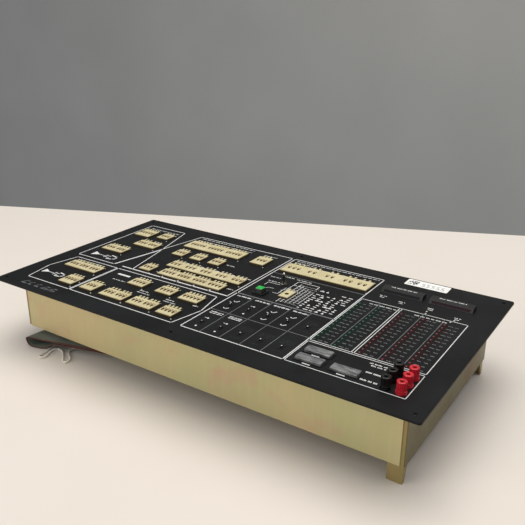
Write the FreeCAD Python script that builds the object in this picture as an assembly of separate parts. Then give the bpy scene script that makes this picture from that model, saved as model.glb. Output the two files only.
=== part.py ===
import FreeCAD, Part
import math
import os

# Bench training console: a flat black panel of spring terminals, lamps, switches and
# 4 mm binding posts, on a shallow zinc-plated sheet-steel case with four corner legs.
#
# Frame: millimetres, +Z up, +X to the right and +Y to the back. The origin is on the
# bench, under the middle of the panel. Distances on the panel are measured in from its
# left or right edge and from its front or rear edge.

V = FreeCAD.Vector

# ---- overall sizes -------------------------------------------------------------------
PANEL_WIDTH = 700.0
PANEL_DEPTH = 364.0
PANEL_THICK = 3.0
PANEL_CORNER_R = 4.0
PANEL_EDGE_CHAMFER = 0.5
CASE_HEIGHT = 85.0
LEG_HEIGHT = 25.0
SIDE_OVERHANG = 25.0
FRONT_OVERHANG = 33.0
REAR_OVERHANG = 28.0

# ---- sheet metal ---------------------------------------------------------------------
SHEET = 1.5
TOP_FLANGE = 9.0
BOTTOM_FLANGE = 12.0
RELIEF_GAP = 0.5
POST_FACE = 20.0
POST_SIDE = 14.0
POST_THICK = 2.0
POST_TOE = 3.0
POST_SHOWING = 6.0
LEFT_LEG_WIDTH = 20.0
LEFT_LEG_FRONT_IN = 80.0
FLANGE_END_GAP = 1.0
PLATE_GAP = 0.3

# ---- panel holes and fixings ---------------------------------------------------------
PANEL_HOLE_R = 2.5
PANEL_HOLE_SIDE_IN = 12.0
PANEL_HOLE_END_IN = 13.5
STUD_R = 1.5
STUD_LENGTH = 8.0
STUD_HOLE_CLEAR = 0.3
STUD_END_IN = 90.0
STUDS_PER_SIDE = 4
NUT_FLATS = 5.0
NUT_THICK = 2.4
SCREW_R = 1.45
SCREW_HEAD_R = 2.75
SCREW_HEAD_THICK = 2.0
SCREW_GRIP = 6.0

# ---- circuit boards ------------------------------------------------------------------
BOARD_DROP = 12.0
BOARD_THICK = 1.6
BOARD_SIDE_IN = 38.0
BOARD_FRONT_IN = 37.0
BOARD_REAR_IN = 34.5
BOARD_NOTCH_X = 12.0
BOARD_NOTCH_Y = 16.0
SPACER_R = 3.0
SPACER_SIDES_IN = (140.0, 345.0, 595.0)
SPACER_FRONT_IN = 82.0
SPACER_REAR_IN = 50.5
INTERFACE_SIZE = (96.0, 84.0)
INTERFACE_LEFT_IN = 136.0
INTERFACE_FRONT_IN = 42.0
INTERFACE_GAP = 9.0

# ---- spring terminals ----------------------------------------------------------------
TERMINAL_HEIGHT = 3.2
TERMINAL_EDGE = 0.7
CUTOUT_CLEAR = 0.4
CONTACT_PITCH = 6.35
SLOT_WIDTH = 2.6
SLOT_LENGTH = 6.5
SLOT_DEPTH = 8.0
TAB_WIDTH = 3.4
TAB_LENGTH = 5.0
TAB_HEIGHT = 2.8
TAB_LIFT = 0.4
TAB_CORNER_R = 1.2
SINGLE_HOLE_R = 3.2
SPRING_WIDTH = 1.8
SPRING_THICK = 0.4
SPRING_HEIGHT = 6.0

# ---- moving controls -----------------------------------------------------------------
SIDE_CLEAR = 0.3
BUTTON_FLANGE = 19.0
BUTTON_BODY = 17.4
BUTTON_CAP = 14.0
BUTTON_CAP_HEIGHT = 9.0
BUTTON_FLANGE_THICK = 2.5
BUTTON_TRAVEL = 2.5
KEY_LENGTH = 36.0
KEY_WIDTH = 14.0
KEY_HEIGHT = 4.0
KEY_RIM = 1.2
KEY_RIM_HEIGHT = 1.0
KEY_TRAVEL = 1.5
BUSHING_R = 3.1
BUSHING_BORE_R = 2.3
BUSHING_HEIGHT = 5.0
LEVER_PIVOT_Z = 1.0
LEVER_BALL_R = 1.9
LEVER_ROOT_R = 1.05
LEVER_TIP_R = 1.7
LEVER_TIP_Z = 18.5
SLIDER_LENGTH = 3.4
SLIDER_WIDTH = 3.0
SLIDER_HEIGHT = 2.2
SLIDER_TRAVEL = 2.0
SLIDE_RIM = 1.1
SLIDE_RIM_HEIGHT = 0.6

# ---- binding posts -------------------------------------------------------------------
POST_PITCH_Y = 18.3
POST_PITCH_X = 19.0
COLLAR_R = 6.75
COLLAR_HEIGHT = 2.2
SHOULDER_R = 3.9
CAP_R = 6.0
CAP_TOP = 15.5
CAP_GAP = 0.3
CAP_UNSCREW = 4.0
CORE_R = 3.0
CORE_TOP = 11.6
CORE_FIT = 0.06
SOCKET_R = 2.05
SOCKET_DEPTH = 14.0
CAP_MOUTH_R = 2.4
POST_NUT_FLATS = 8.0

# ---- displays and lamps --------------------------------------------------------------
BEZEL_LENGTH = 64.0
BEZEL_DEPTH = 18.0
BEZEL_HEIGHT = 6.5
BEZEL_SLOPE_RUN = 5.5
BEZEL_LIP = 0.5
BEZEL_WALL = 2.0
WINDOW_THICK = 1.0
WINDOW_LENGTH = 56.0
LAMP_R = 1.5
LAMP_HOLE_R = 1.7
LAMP_HEIGHT = 0.8
LAMP_PITCH = 10.16
LAMP_ROWS = 14

# ---- cables --------------------------------------------------------------------------
RIBBON_WIDTH = 43.2
RIBBON_THICK = 1.2
RIBBON_YAW = 14.5
RIBBON_SKEW = 15.6
RIBBON_LEFT_IN = 42.0
RIBBON_FRONT_IN = 10.0
HEADER_SIZE = (9.0, 49.0)
LEAD_R = 1.7
GROMMET_R = 5.0
GROMMET_LIP = 1.2
LEAD_PLUG = (8.0, 10.0, 5.0)
CABLE_GAP = 1.0

CASE_BOTTOM = LEG_HEIGHT
PANEL_UNDER = LEG_HEIGHT + CASE_HEIGHT
PANEL_TOP = PANEL_UNDER + PANEL_THICK
BASE_TOP = CASE_BOTTOM + 2 * SHEET
BOARD_TOP = PANEL_UNDER - BOARD_DROP
BOARD_BOTTOM = BOARD_TOP - BOARD_THICK
INTERFACE_BOTTOM = BASE_TOP + INTERFACE_GAP


def left(distance):
    return distance - PANEL_WIDTH / 2


def right(distance):
    return PANEL_WIDTH / 2 - distance


def front(distance):
    return distance - PANEL_DEPTH / 2


def rear(distance):
    return PANEL_DEPTH / 2 - distance


CASE_X0 = left(SIDE_OVERHANG)
CASE_X1 = right(SIDE_OVERHANG)
CASE_Y0 = front(FRONT_OVERHANG)
CASE_Y1 = rear(REAR_OVERHANG)


# ---- small shape helpers -------------------------------------------------------------
def block(x0, x1, y0, y1, z0, z1):
    return Part.makeBox(x1 - x0, y1 - y0, z1 - z0, V(x0, y0, z0))


def centred_block(x, y, size_x, size_y, z0, z1):
    return block(x - size_x / 2, x + size_x / 2, y - size_y / 2, y + size_y / 2, z0, z1)


def rod(x, y, radius, z0, z1):
    return Part.makeCylinder(radius, z1 - z0, V(x, y, z0))


def hexagon(x, y, flats, z0, z1):
    corner = flats / math.sqrt(3)
    points = []
    for i in range(7):
        turn = math.radians(60 * i + 30)
        points.append(V(x + corner * math.cos(turn), y + corner * math.sin(turn), z0))
    return Part.Face(Part.makePolygon(points)).extrude(V(0, 0, z1 - z0))


def prism_x(x0, x1, outline):
    """A prism along X from an outline of (y, z) points."""
    points = [V(x0, y, z) for y, z in outline]
    return Part.Face(Part.makePolygon(points + points[:1])).extrude(V(x1 - x0, 0, 0))


def upright_edges(shape, height):
    found = []
    for edge in shape.Edges:
        ends = [vertex.Point for vertex in edge.Vertexes]
        if len(ends) == 2 and abs(abs(ends[0].z - ends[1].z) - height) < 1e-6:
            found.append(edge)
    return found


def edges_at(shape, z):
    return [edge for edge in shape.Edges if all(abs(v.Point.z - z) < 1e-6 for v in edge.Vertexes)]


def export(name, shapes):
    shape = shapes[0] if len(shapes) == 1 else Part.makeCompound(shapes)
    shape.exportStep("parts/" + name + ".step")


# ---- where things stand on the panel -------------------------------------------------
# Each terminal: node, left edge, front edge, length, depth, contact places from its left edge.
def contact_row(length, groups, count, group_pitch=0.0, pitch=CONTACT_PITCH):
    span = (groups - 1) * group_pitch + (count - 1) * pitch
    start = (length - span) / 2
    return [start + g * group_pitch + i * pitch for g in range(groups) for i in range(count)]


def terminal_list():
    trio = contact_row(23.0, 1, 3)
    pair_of_trios = contact_row(47.0, 2, 3, 23.0)
    found = [
        ("terminals_left_rear", left(36.1), rear(91.1), 33.5, 32.0, contact_row(33.5, 1, 5)),
        ("terminals_left_rear", left(83.4), rear(83.0), 24.0, 24.0, contact_row(24.0, 1, 3)),
        ("terminals_left_rear", left(72.3), rear(132.4), 47.0, 25.0, pair_of_trios),
        ("terminals_left_rear", left(41.1), rear(178.2), 47.0, 24.0, pair_of_trios),
        ("terminals_middle_rear", left(153.4), rear(90.8), 118.0, 33.0, contact_row(118.0, 3, 5, 38.1)),
        ("terminals_middle_rear", left(294.4), rear(90.8), 27.0, 33.0, contact_row(27.0, 1, 3)),
        ("terminals_middle_rear", left(161.2), rear(212.2), 23.0, 23.0, trio),
        ("terminals_middle_rear", left(189.9), rear(178.1), 145.4, 24.0,
         contact_row(145.4, 5, 3, 30.7, 7.2)),
        ("terminals_middle_rear", left(200.5), rear(212.2), 122.7, 23.0,
         contact_row(122.7, 4, 4, 30.5)),
        ("terminals_left_front", left(49.5), front(95.7), 69.0, 24.0, contact_row(69.0, 3, 3, 22.2)),
        ("terminals_left_front", left(93.9), front(44.3), 28.8, 28.0, contact_row(28.8, 1, 4)),
        ("terminals_middle_front", left(140.8), front(44.3), 26.0, 28.0, contact_row(26.0, 1, 3)),
        ("terminals_middle_front", left(189.0), front(96.7), 31.4, 23.0, contact_row(31.4, 1, 4)),
        ("terminals_middle_front", left(244.8), front(96.7), 30.5, 23.0, contact_row(30.5, 1, 4)),
        ("terminals_middle_front", left(289.7), front(96.7), 35.6, 23.0, contact_row(35.6, 1, 5)),
        ("terminals_middle_front", left(182.1), front(43.8), 46.4, 24.0,
         contact_row(46.4, 2, 3, 22.6)),
        ("terminals_middle_front", left(237.1), front(43.8), 46.4, 24.0,
         contact_row(46.4, 2, 3, 22.6)),
        ("terminals_middle_front", left(293.9), front(43.8), 29.0, 24.0, contact_row(29.0, 1, 4)),
    ]
    for start in (161.4, 199.8, 238.2):
        found.append(("terminals_middle_rear", left(start), rear(131.9), 23.0, 24.0, trio))
    long_row = [8.5, 17.0, 25.5]
    for pair_middle in (50.2, 82.1, 113.4, 137.6):
        long_row += [pair_middle - 4.5, pair_middle + 4.5]
    found.append(("terminals_right_rear", right(346.2), rear(90.7), 152.3, 34.0, long_row))
    return found


SINGLE_TERMINAL = (right(293.4), rear(178.7), 16.5, 26.0)
START_BUTTON = (right(323.0), rear(180.0))
TOGGLE = (right(310.0), rear(135.0))
KEYS = [("key_upper", right(160.5), front(71.8)), ("key_lower", right(160.5), front(49.2)),
        ("key_right", right(113.0), front(49.8))]
POST_COLUMNS = [("red", right(40.5)), ("black", right(40.5 + POST_PITCH_X))]
POST_ROWS = [front(43.5 + POST_PITCH_Y * i) for i in range(3)]
SLIDE_COLUMNS = [right(334.8 - 31.9 * i) for i in range(5)]
SLIDE_ROWS = [front(59.5), front(124.5)]
BEZELS = [right(144.0), right(70.0)]
BEZEL_FRONT = rear(76.0)
GREEN_LAMP_COLUMNS = [right(184.3), right(154.3)]
RED_LAMP_COLUMNS = [right(120.2), right(89.3), right(58.4)]
LAMP_FIRST_ROW = front(101.5)


def lamp_places(columns):
    return [(x, LAMP_FIRST_ROW + LAMP_PITCH * i) for x in columns for i in range(LAMP_ROWS)]


def spread(low, high, count):
    return [low + (high - low) * i / (count - 1) for i in range(count)]


def stud_places():
    places = []
    for x in spread(left(STUD_END_IN), right(STUD_END_IN), STUDS_PER_SIDE):
        places.append((x, CASE_Y0 + SHEET + TOP_FLANGE / 2))
        places.append((x, CASE_Y1 - SHEET - TOP_FLANGE / 2))
    return places


def spacer_places():
    places = []
    for side_in in SPACER_SIDES_IN:
        places.append((left(side_in), rear(SPACER_REAR_IN)))
        places.append((left(side_in), front(SPACER_FRONT_IN)))
    return places


def post_places():
    return [(colour, x, y) for colour, x in POST_COLUMNS for y in POST_ROWS]


# ---- panel ---------------------------------------------------------------------------
def panel_mount_holes():
    places = []
    for y in (front(PANEL_HOLE_END_IN), rear(PANEL_HOLE_END_IN)):
        places += [(left(PANEL_HOLE_SIDE_IN), y), (0.0, y), (right(PANEL_HOLE_SIDE_IN), y)]
    return places


def make_panel(terminals):
    plate = block(left(0), right(0), front(0), rear(0), PANEL_UNDER, PANEL_TOP)
    plate = plate.makeFillet(PANEL_CORNER_R, upright_edges(plate, PANEL_THICK))
    plate = plate.makeChamfer(PANEL_EDGE_CHAMFER, edges_at(plate, PANEL_TOP))
    low, high = PANEL_UNDER - 1, PANEL_TOP + 1
    gap = CUTOUT_CLEAR
    cutters = []
    for _, x, y, length, depth, _ in terminals:
        cutters.append(block(x - gap, x + length + gap, y - gap, y + depth + gap, low, high))
    x, y, length, depth = SINGLE_TERMINAL
    cutters.append(block(x - gap, x + length + gap, y - gap, y + depth + gap, low, high))
    cutters.append(centred_block(*START_BUTTON, BUTTON_BODY + gap, BUTTON_BODY + gap, low, high))
    cutters.append(rod(*TOGGLE, BUSHING_R + 0.1, low, high))
    for _, x, y in KEYS:
        cutters.append(centred_block(x, y, *key_neck_size(gap), low, high))
    for x in SLIDE_COLUMNS:
        for y in SLIDE_ROWS:
            cutters.append(centred_block(x, y, *slide_neck_size(gap), low, high))
    for _, x, y in post_places():
        cutters.append(rod(x, y, SHOULDER_R + 0.1, low, high))
    for x, y in lamp_places(GREEN_LAMP_COLUMNS + RED_LAMP_COLUMNS):
        cutters.append(rod(x, y, LAMP_HOLE_R, low, high))
    for x in BEZELS:
        cutters.append(block(x - WINDOW_LENGTH / 2, x + WINDOW_LENGTH / 2,
                             BEZEL_FRONT + BEZEL_WALL, BEZEL_FRONT + BEZEL_DEPTH - BEZEL_WALL,
                             low, high))
    for x, y in panel_mount_holes():
        cutters.append(rod(x, y, PANEL_HOLE_R, low, high))
    return plate.cut(Part.makeCompound(cutters))


# ---- case ----------------------------------------------------------------------------
def relief_cutters(terminals):
    """Clearance in the top flanges round everything that hangs below the panel there."""
    gap = RELIEF_GAP
    low, high = PANEL_UNDER - SHEET - 1, PANEL_UNDER + 1
    cutters = []
    for _, x, y, length, depth, _ in terminals:
        cutters.append(block(x - gap, x + length + gap, y - gap, y + depth + gap, low, high))
    for _, x, y in KEYS:
        cutters.append(centred_block(x, y, *key_neck_size(2 * gap), low, high))
    for _, x, y in post_places():
        cutters.append(rod(x, y, POST_NUT_FLATS / math.sqrt(3) + gap, low, high))
    return cutters


def make_end_plate(outer_y, inward, terminals):
    """Front or rear plate with its top and bottom flanges folded inward."""
    inner_y = outer_y + inward * SHEET
    wall_y = sorted((outer_y, inner_y))
    top_y = sorted((inner_y, inner_y + inward * TOP_FLANGE))
    bottom_y = sorted((inner_y, inner_y + inward * BOTTOM_FLANGE))
    wall = block(CASE_X0 + POST_SHOWING, CASE_X1 - POST_SHOWING, *wall_y, CASE_BOTTOM, PANEL_UNDER)
    x0 = CASE_X0 + SHEET + POST_FACE + FLANGE_END_GAP
    x1 = CASE_X1 - SHEET - POST_FACE - FLANGE_END_GAP
    top = block(x0, x1, *top_y, PANEL_UNDER - SHEET, PANEL_UNDER)
    bottom = block(x0, x1, *bottom_y, CASE_BOTTOM, CASE_BOTTOM + SHEET)
    holes = [rod(x, y, STUD_R + STUD_HOLE_CLEAR, PANEL_UNDER - SHEET - 1, PANEL_UNDER + 1)
             for x, y in stud_places()]
    top = top.cut(Part.makeCompound(holes + relief_cutters(terminals)))
    holes = [rod(x, y, SCREW_R, CASE_BOTTOM - 1, CASE_BOTTOM + SHEET + 1)
             for x, y in base_screw_places()]
    bottom = bottom.cut(Part.makeCompound(holes))
    return wall.fuse([top, bottom]).removeSplitter()


def make_side_plate(outer_x, inward, terminals):
    """Left or right plate with its top and bottom flanges folded inward."""
    inner_x = outer_x + inward * SHEET
    wall_x = sorted((outer_x, inner_x))
    top_x = sorted((inner_x, inner_x + inward * TOP_FLANGE))
    bottom_x = sorted((inner_x, inner_x + inward * BOTTOM_FLANGE))
    y0, y1 = CASE_Y0 + SHEET, CASE_Y1 - SHEET
    wall = block(*wall_x, y0, y1, CASE_BOTTOM, PANEL_UNDER)
    y0 += POST_SIDE + FLANGE_END_GAP
    y1 -= POST_SIDE + FLANGE_END_GAP
    top = block(*top_x, y0, y1, PANEL_UNDER - SHEET, PANEL_UNDER)
    top = top.cut(Part.makeCompound(relief_cutters(terminals)))
    bottom = block(*bottom_x, y0, y1, CASE_BOTTOM, CASE_BOTTOM + SHEET)
    holes = [rod(x, y, SCREW_R, CASE_BOTTOM - 1, CASE_BOTTOM + SHEET + 1)
             for x, y in left_leg_screw_places()]
    return wall.fuse([top, bottom.cut(Part.makeCompound(holes))]).removeSplitter()


def base_screw_places():
    places = []
    for x in spread(left(STUD_END_IN), right(STUD_END_IN), STUDS_PER_SIDE):
        places.append((x, CASE_Y0 + SHEET + BOTTOM_FLANGE / 2))
        places.append((x, CASE_Y1 - SHEET - BOTTOM_FLANGE / 2))
    return places


def left_leg_screw_places():
    x = CASE_X0 + SHEET + BOTTOM_FLANGE / 2 + POST_THICK / 2
    y = front(LEFT_LEG_FRONT_IN)
    return [(x, y + LEFT_LEG_WIDTH / 4), (x, y + 3 * LEFT_LEG_WIDTH / 4)]


def make_base_plate():
    gap = SHEET + PLATE_GAP
    z0, z1 = CASE_BOTTOM + SHEET, BASE_TOP
    plate = block(CASE_X0 + gap, CASE_X1 - gap, CASE_Y0 + gap, CASE_Y1 - gap, z0, z1)
    notch_x = SHEET + POST_FACE + PLATE_GAP
    notch_y = SHEET + POST_SIDE + PLATE_GAP
    cutters = []
    for x0, x1 in ((CASE_X0, CASE_X0 + notch_x), (CASE_X1 - notch_x, CASE_X1)):
        for y0, y1 in ((CASE_Y0, CASE_Y0 + notch_y), (CASE_Y1 - notch_y, CASE_Y1)):
            cutters.append(block(x0, x1, y0, y1, z0 - 1, z1 + 1))
    for x, y in base_screw_places() + left_leg_screw_places():
        cutters.append(rod(x, y, SCREW_R, z0 - 1, z1 + 1))
    half_slot = RIBBON_THICK / 2 + CABLE_GAP
    for s in (RIBBON_ROUTE[0][0], RIBBON_ROUTE[-1][0]):
        cutters.append(ribbon_band(s - half_slot, s + half_slot, z0 - 1, z1 + 1, CABLE_GAP))
    cutters.append(rod(*LEAD_EXIT, GROMMET_R - GROMMET_LIP, z0 - 1, z1 + 1))
    return plate.cut(Part.makeCompound(cutters))


def make_corner_post(side_x, end_y, low_z):
    """An angle up to the panel; side_x and end_y point out of the case. One that starts at
    the bench is a leg too, and tapers below the case."""
    corner_x = (CASE_X1 if side_x > 0 else CASE_X0) - side_x * SHEET
    corner_y = (CASE_Y1 if end_y > 0 else CASE_Y0) - end_y * SHEET
    tip_y = corner_y - end_y * POST_SIDE
    toe_y = corner_y - end_y * (POST_THICK + POST_TOE) if low_z < CASE_BOTTOM else tip_y
    face = block(*sorted((corner_x, corner_x - side_x * POST_FACE)),
                 *sorted((corner_y, corner_y - end_y * POST_THICK)), low_z, PANEL_UNDER)
    outline = [(corner_y, low_z), (toe_y, low_z), (tip_y, CASE_BOTTOM + SHEET),
               (tip_y, PANEL_UNDER), (corner_y, PANEL_UNDER)]
    side = prism_x(*sorted((corner_x, corner_x - side_x * POST_THICK)), outline)
    return face.fuse(side).removeSplitter()


def make_left_leg():
    """The front leg of the left side: an angle under the side flange, back from the corner."""
    x0, y0 = CASE_X0 + SHEET, front(LEFT_LEG_FRONT_IN)
    x1, y1 = x0 + BOTTOM_FLANGE, y0 + LEFT_LEG_WIDTH
    upright = block(x0, x0 + POST_THICK, y0, y1, 0, CASE_BOTTOM)
    shelf = block(x0, x1, y0, y1, CASE_BOTTOM - POST_THICK, CASE_BOTTOM)
    holes = [rod(x, y, SCREW_R, 0, CASE_BOTTOM) for x, y in left_leg_screw_places()]
    return upright.fuse(shelf).cut(Part.makeCompound(holes)).removeSplitter()


def make_panel_fixings():
    pieces = []
    z0 = PANEL_UNDER - STUD_LENGTH
    nut_top = PANEL_UNDER - SHEET
    for x, y in stud_places():
        nut = hexagon(x, y, NUT_FLATS, nut_top - NUT_THICK, nut_top)
        pieces.append(rod(x, y, STUD_R, z0, PANEL_UNDER))
        pieces.append(nut.cut(rod(x, y, STUD_R, z0, PANEL_UNDER)))
    return pieces


def screw(x, y, seat_z, grip, radius=SCREW_R):
    """A pan-head screw pointing up, its head below seat_z."""
    head = rod(x, y, SCREW_HEAD_R, seat_z - SCREW_HEAD_THICK, seat_z)
    return head.fuse(rod(x, y, radius, seat_z, seat_z + grip)).removeSplitter()


def make_screws():
    pieces = [screw(x, y, CASE_BOTTOM, SCREW_GRIP) for x, y in base_screw_places()]
    pieces += [screw(x, y, CASE_BOTTOM - POST_THICK, SCREW_GRIP + POST_THICK)
               for x, y in left_leg_screw_places()]
    pieces += [screw(x, y, BOARD_BOTTOM, SCREW_GRIP) for x, y in spacer_places()]
    return pieces


# ---- boards inside -------------------------------------------------------------------
def make_main_board():
    x0, x1 = left(BOARD_SIDE_IN), right(BOARD_SIDE_IN)
    y0, y1 = front(BOARD_FRONT_IN), rear(BOARD_REAR_IN)
    board = block(x0, x1, y0, y1, BOARD_BOTTOM, BOARD_TOP)
    cutters = [rod(x, y, SCREW_R, BOARD_BOTTOM - 1, BOARD_TOP + 1) for x, y in spacer_places()]
    for cx in (x0, x1 - BOARD_NOTCH_X):
        for cy in (y0, y1 - BOARD_NOTCH_Y):
            cutters.append(block(cx, cx + BOARD_NOTCH_X, cy, cy + BOARD_NOTCH_Y,
                                 BOARD_BOTTOM - 1, BOARD_TOP + 1))
    return board.cut(Part.makeCompound(cutters))


def interface_corners():
    x0, y0 = left(INTERFACE_LEFT_IN), front(INTERFACE_FRONT_IN)
    return x0, x0 + INTERFACE_SIZE[0], y0, y0 + INTERFACE_SIZE[1]


def make_spacers():
    pieces = []
    for x, y in spacer_places():
        tube = rod(x, y, SPACER_R, BOARD_TOP, PANEL_UNDER)
        pieces.append(tube.cut(rod(x, y, SCREW_R, BOARD_TOP, PANEL_UNDER)))
    x0, x1, y0, y1 = interface_corners()
    for x in (x0 + SPACER_R, x1 - SPACER_R):
        for y in (y0 + SPACER_R, y1 - SPACER_R):
            pieces.append(rod(x, y, SPACER_R, BASE_TOP, INTERFACE_BOTTOM))
    return pieces


def make_board_connectors():
    bottom = BASE_TOP + CABLE_GAP
    half = HEADER_SIZE[0] / 2
    extra = (HEADER_SIZE[1] - RIBBON_WIDTH) / 2
    pieces = [ribbon_band(s - half, s + half, bottom, INTERFACE_BOTTOM, extra)
              for s in (RIBBON_ROUTE[0][0], RIBBON_ROUTE[-1][0])]
    pieces.append(centred_block(*LEAD_EXIT, 12.0, 10.0, bottom, INTERFACE_BOTTOM))
    return pieces


# ---- spring terminals ----------------------------------------------------------------
def make_tab(x, rear_y):
    """A release tab standing out behind a terminal, just clear of the panel."""
    y1 = rear_y + TAB_LENGTH
    z0 = PANEL_TOP + TAB_LIFT
    tab = block(x - TAB_WIDTH / 2, x + TAB_WIDTH / 2, rear_y, y1, z0, z0 + TAB_HEIGHT)
    corners = [edge for edge in upright_edges(tab, TAB_HEIGHT) if edge.Vertexes[0].Point.y > y1 - 1e-6]
    return tab.makeFillet(TAB_CORNER_R, corners)


def make_terminal(x, y, length, depth, contacts, single=False):
    top = PANEL_TOP + TERMINAL_HEIGHT
    body = block(x, x + length, y, y + depth, BOARD_TOP, top)
    body = body.makeChamfer(TERMINAL_EDGE, edges_at(body, top))
    middle = y + depth / 2 - 1
    tabs = [make_tab(x + c, y + depth) for c in contacts]
    if single:
        slots = [rod(x + length / 2, middle, SINGLE_HOLE_R, top - SLOT_DEPTH, top + 1)]
    else:
        slots = [centred_block(x + c, middle, SLOT_WIDTH, SLOT_LENGTH, top - SLOT_DEPTH, top + 1)
                 for c in contacts]
    return body.fuse(tabs).cut(Part.makeCompound(slots)).removeSplitter()


def make_springs(terminals):
    pieces = []
    bottom = PANEL_TOP + TERMINAL_HEIGHT - SLOT_DEPTH
    for _, x, y, _, depth, contacts in terminals:
        rear_wall = y + depth / 2 - 1 + SLOT_LENGTH / 2
        for c in contacts:
            pieces.append(block(x + c - SPRING_WIDTH / 2, x + c + SPRING_WIDTH / 2,
                                rear_wall - SPRING_THICK, rear_wall,
                                bottom, bottom + SPRING_HEIGHT))
    return pieces


# ---- displays ------------------------------------------------------------------------
def slope_outline(inset, depth_end):
    """Outline (y, z) under the sloping front, set back by inset along Y."""
    y0 = BEZEL_FRONT + inset
    z0 = PANEL_TOP + BEZEL_LIP
    z1 = PANEL_TOP + BEZEL_HEIGHT
    return [(y0, z0), (y0 + BEZEL_SLOPE_RUN, z1), (depth_end, z1), (depth_end, z0)]


def make_bezel(x):
    rear_y = BEZEL_FRONT + BEZEL_DEPTH
    outline = [(BEZEL_FRONT, PANEL_TOP)] + slope_outline(0, rear_y)[:3] + [(rear_y, PANEL_TOP)]
    hood = prism_x(x - BEZEL_LENGTH / 2, x + BEZEL_LENGTH / 2, outline)
    inner_top = PANEL_TOP + BEZEL_HEIGHT - BEZEL_WALL
    run = BEZEL_SLOPE_RUN * (inner_top - PANEL_TOP) / BEZEL_HEIGHT
    pocket = [(BEZEL_FRONT + BEZEL_WALL, PANEL_TOP - 1), (BEZEL_FRONT + BEZEL_WALL, PANEL_TOP),
              (BEZEL_FRONT + BEZEL_WALL + run, inner_top), (rear_y - BEZEL_WALL, inner_top),
              (rear_y - BEZEL_WALL, PANEL_TOP - 1)]
    hood = hood.cut(prism_x(x - WINDOW_LENGTH / 2, x + WINDOW_LENGTH / 2, pocket))
    return hood.cut(window_shape(x, PANEL_TOP + BEZEL_LIP + 0.7)).removeSplitter()


def window_shape(x, low_z):
    """The sloping window, as thick as the bezel's front wall."""
    inner_top = PANEL_TOP + BEZEL_HEIGHT - BEZEL_WALL
    slope = BEZEL_SLOPE_RUN / (BEZEL_HEIGHT - BEZEL_LIP)

    def front_y(z):
        return BEZEL_FRONT + slope * (z - PANEL_TOP - BEZEL_LIP)

    back = BEZEL_WALL + WINDOW_THICK
    outline = [(front_y(low_z), low_z), (front_y(inner_top), inner_top),
               (front_y(inner_top) + back, inner_top), (front_y(low_z) + back, low_z)]
    return prism_x(x - WINDOW_LENGTH / 2, x + WINDOW_LENGTH / 2, outline)


def make_display_module(x):
    y0 = BEZEL_FRONT + BEZEL_SLOPE_RUN + BEZEL_WALL + WINDOW_THICK
    y1 = BEZEL_FRONT + BEZEL_DEPTH - BEZEL_WALL - 1
    return block(x - WINDOW_LENGTH / 2 + 2, x + WINDOW_LENGTH / 2 - 2, y0, y1,
                 BOARD_TOP, PANEL_TOP + BEZEL_HEIGHT - BEZEL_WALL - 0.5)


# ---- lamps ---------------------------------------------------------------------------
def make_lamp(x, y):
    lamp = rod(x, y, LAMP_R, BOARD_TOP, PANEL_TOP + LAMP_HEIGHT)
    return lamp.makeFillet(0.6, edges_at(lamp, PANEL_TOP + LAMP_HEIGHT))


# ---- controls ------------------------------------------------------------------------
def make_button():
    x, y = START_BUTTON
    well_bottom = PANEL_TOP - 10.0
    flange = centred_block(x, y, BUTTON_FLANGE, BUTTON_FLANGE, PANEL_TOP,
                           PANEL_TOP + BUTTON_FLANGE_THICK)
    flange = flange.makeFillet(1.0, upright_edges(flange, BUTTON_FLANGE_THICK))
    body = centred_block(x, y, BUTTON_BODY, BUTTON_BODY, BOARD_TOP, PANEL_TOP)
    well_size = BUTTON_CAP + 2 * SIDE_CLEAR
    well = centred_block(x, y, well_size, well_size, well_bottom, PANEL_TOP + 20)
    housing = flange.fuse(body).cut(well).removeSplitter()
    cap_bottom = well_bottom + BUTTON_TRAVEL + SIDE_CLEAR
    cap_top = PANEL_TOP + BUTTON_CAP_HEIGHT
    cap = centred_block(x, y, BUTTON_CAP, BUTTON_CAP, cap_bottom, cap_top)
    cap = cap.makeFillet(1.2, upright_edges(cap, cap_top - cap_bottom))
    cap = cap.makeFillet(1.0, edges_at(cap, cap_top))
    return housing, cap


def key_neck_size(gap=0.0):
    return (KEY_LENGTH + KEY_RIM + gap, KEY_WIDTH + KEY_RIM + gap)


def make_key(x, y):
    neck_x, neck_y = key_neck_size()
    well_x, well_y = KEY_LENGTH + 2 * SIDE_CLEAR, KEY_WIDTH + 2 * SIDE_CLEAR
    well_bottom = PANEL_UNDER - 4.0
    rim = centred_block(x, y, neck_x + KEY_RIM, neck_y + KEY_RIM, PANEL_TOP,
                        PANEL_TOP + KEY_RIM_HEIGHT)
    neck = centred_block(x, y, neck_x, neck_y, BOARD_TOP, PANEL_TOP)
    frame = rim.fuse(neck).cut(centred_block(x, y, well_x, well_y, well_bottom, PANEL_TOP + 20))
    cap_bottom = well_bottom + KEY_TRAVEL + SIDE_CLEAR
    cap_top = PANEL_TOP + KEY_HEIGHT
    cap = centred_block(x, y, KEY_LENGTH, KEY_WIDTH, cap_bottom, cap_top)
    cap = cap.makeFillet(1.5, upright_edges(cap, cap_top - cap_bottom))
    return frame.removeSplitter(), cap.makeFillet(0.9, edges_at(cap, cap_top))


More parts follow.
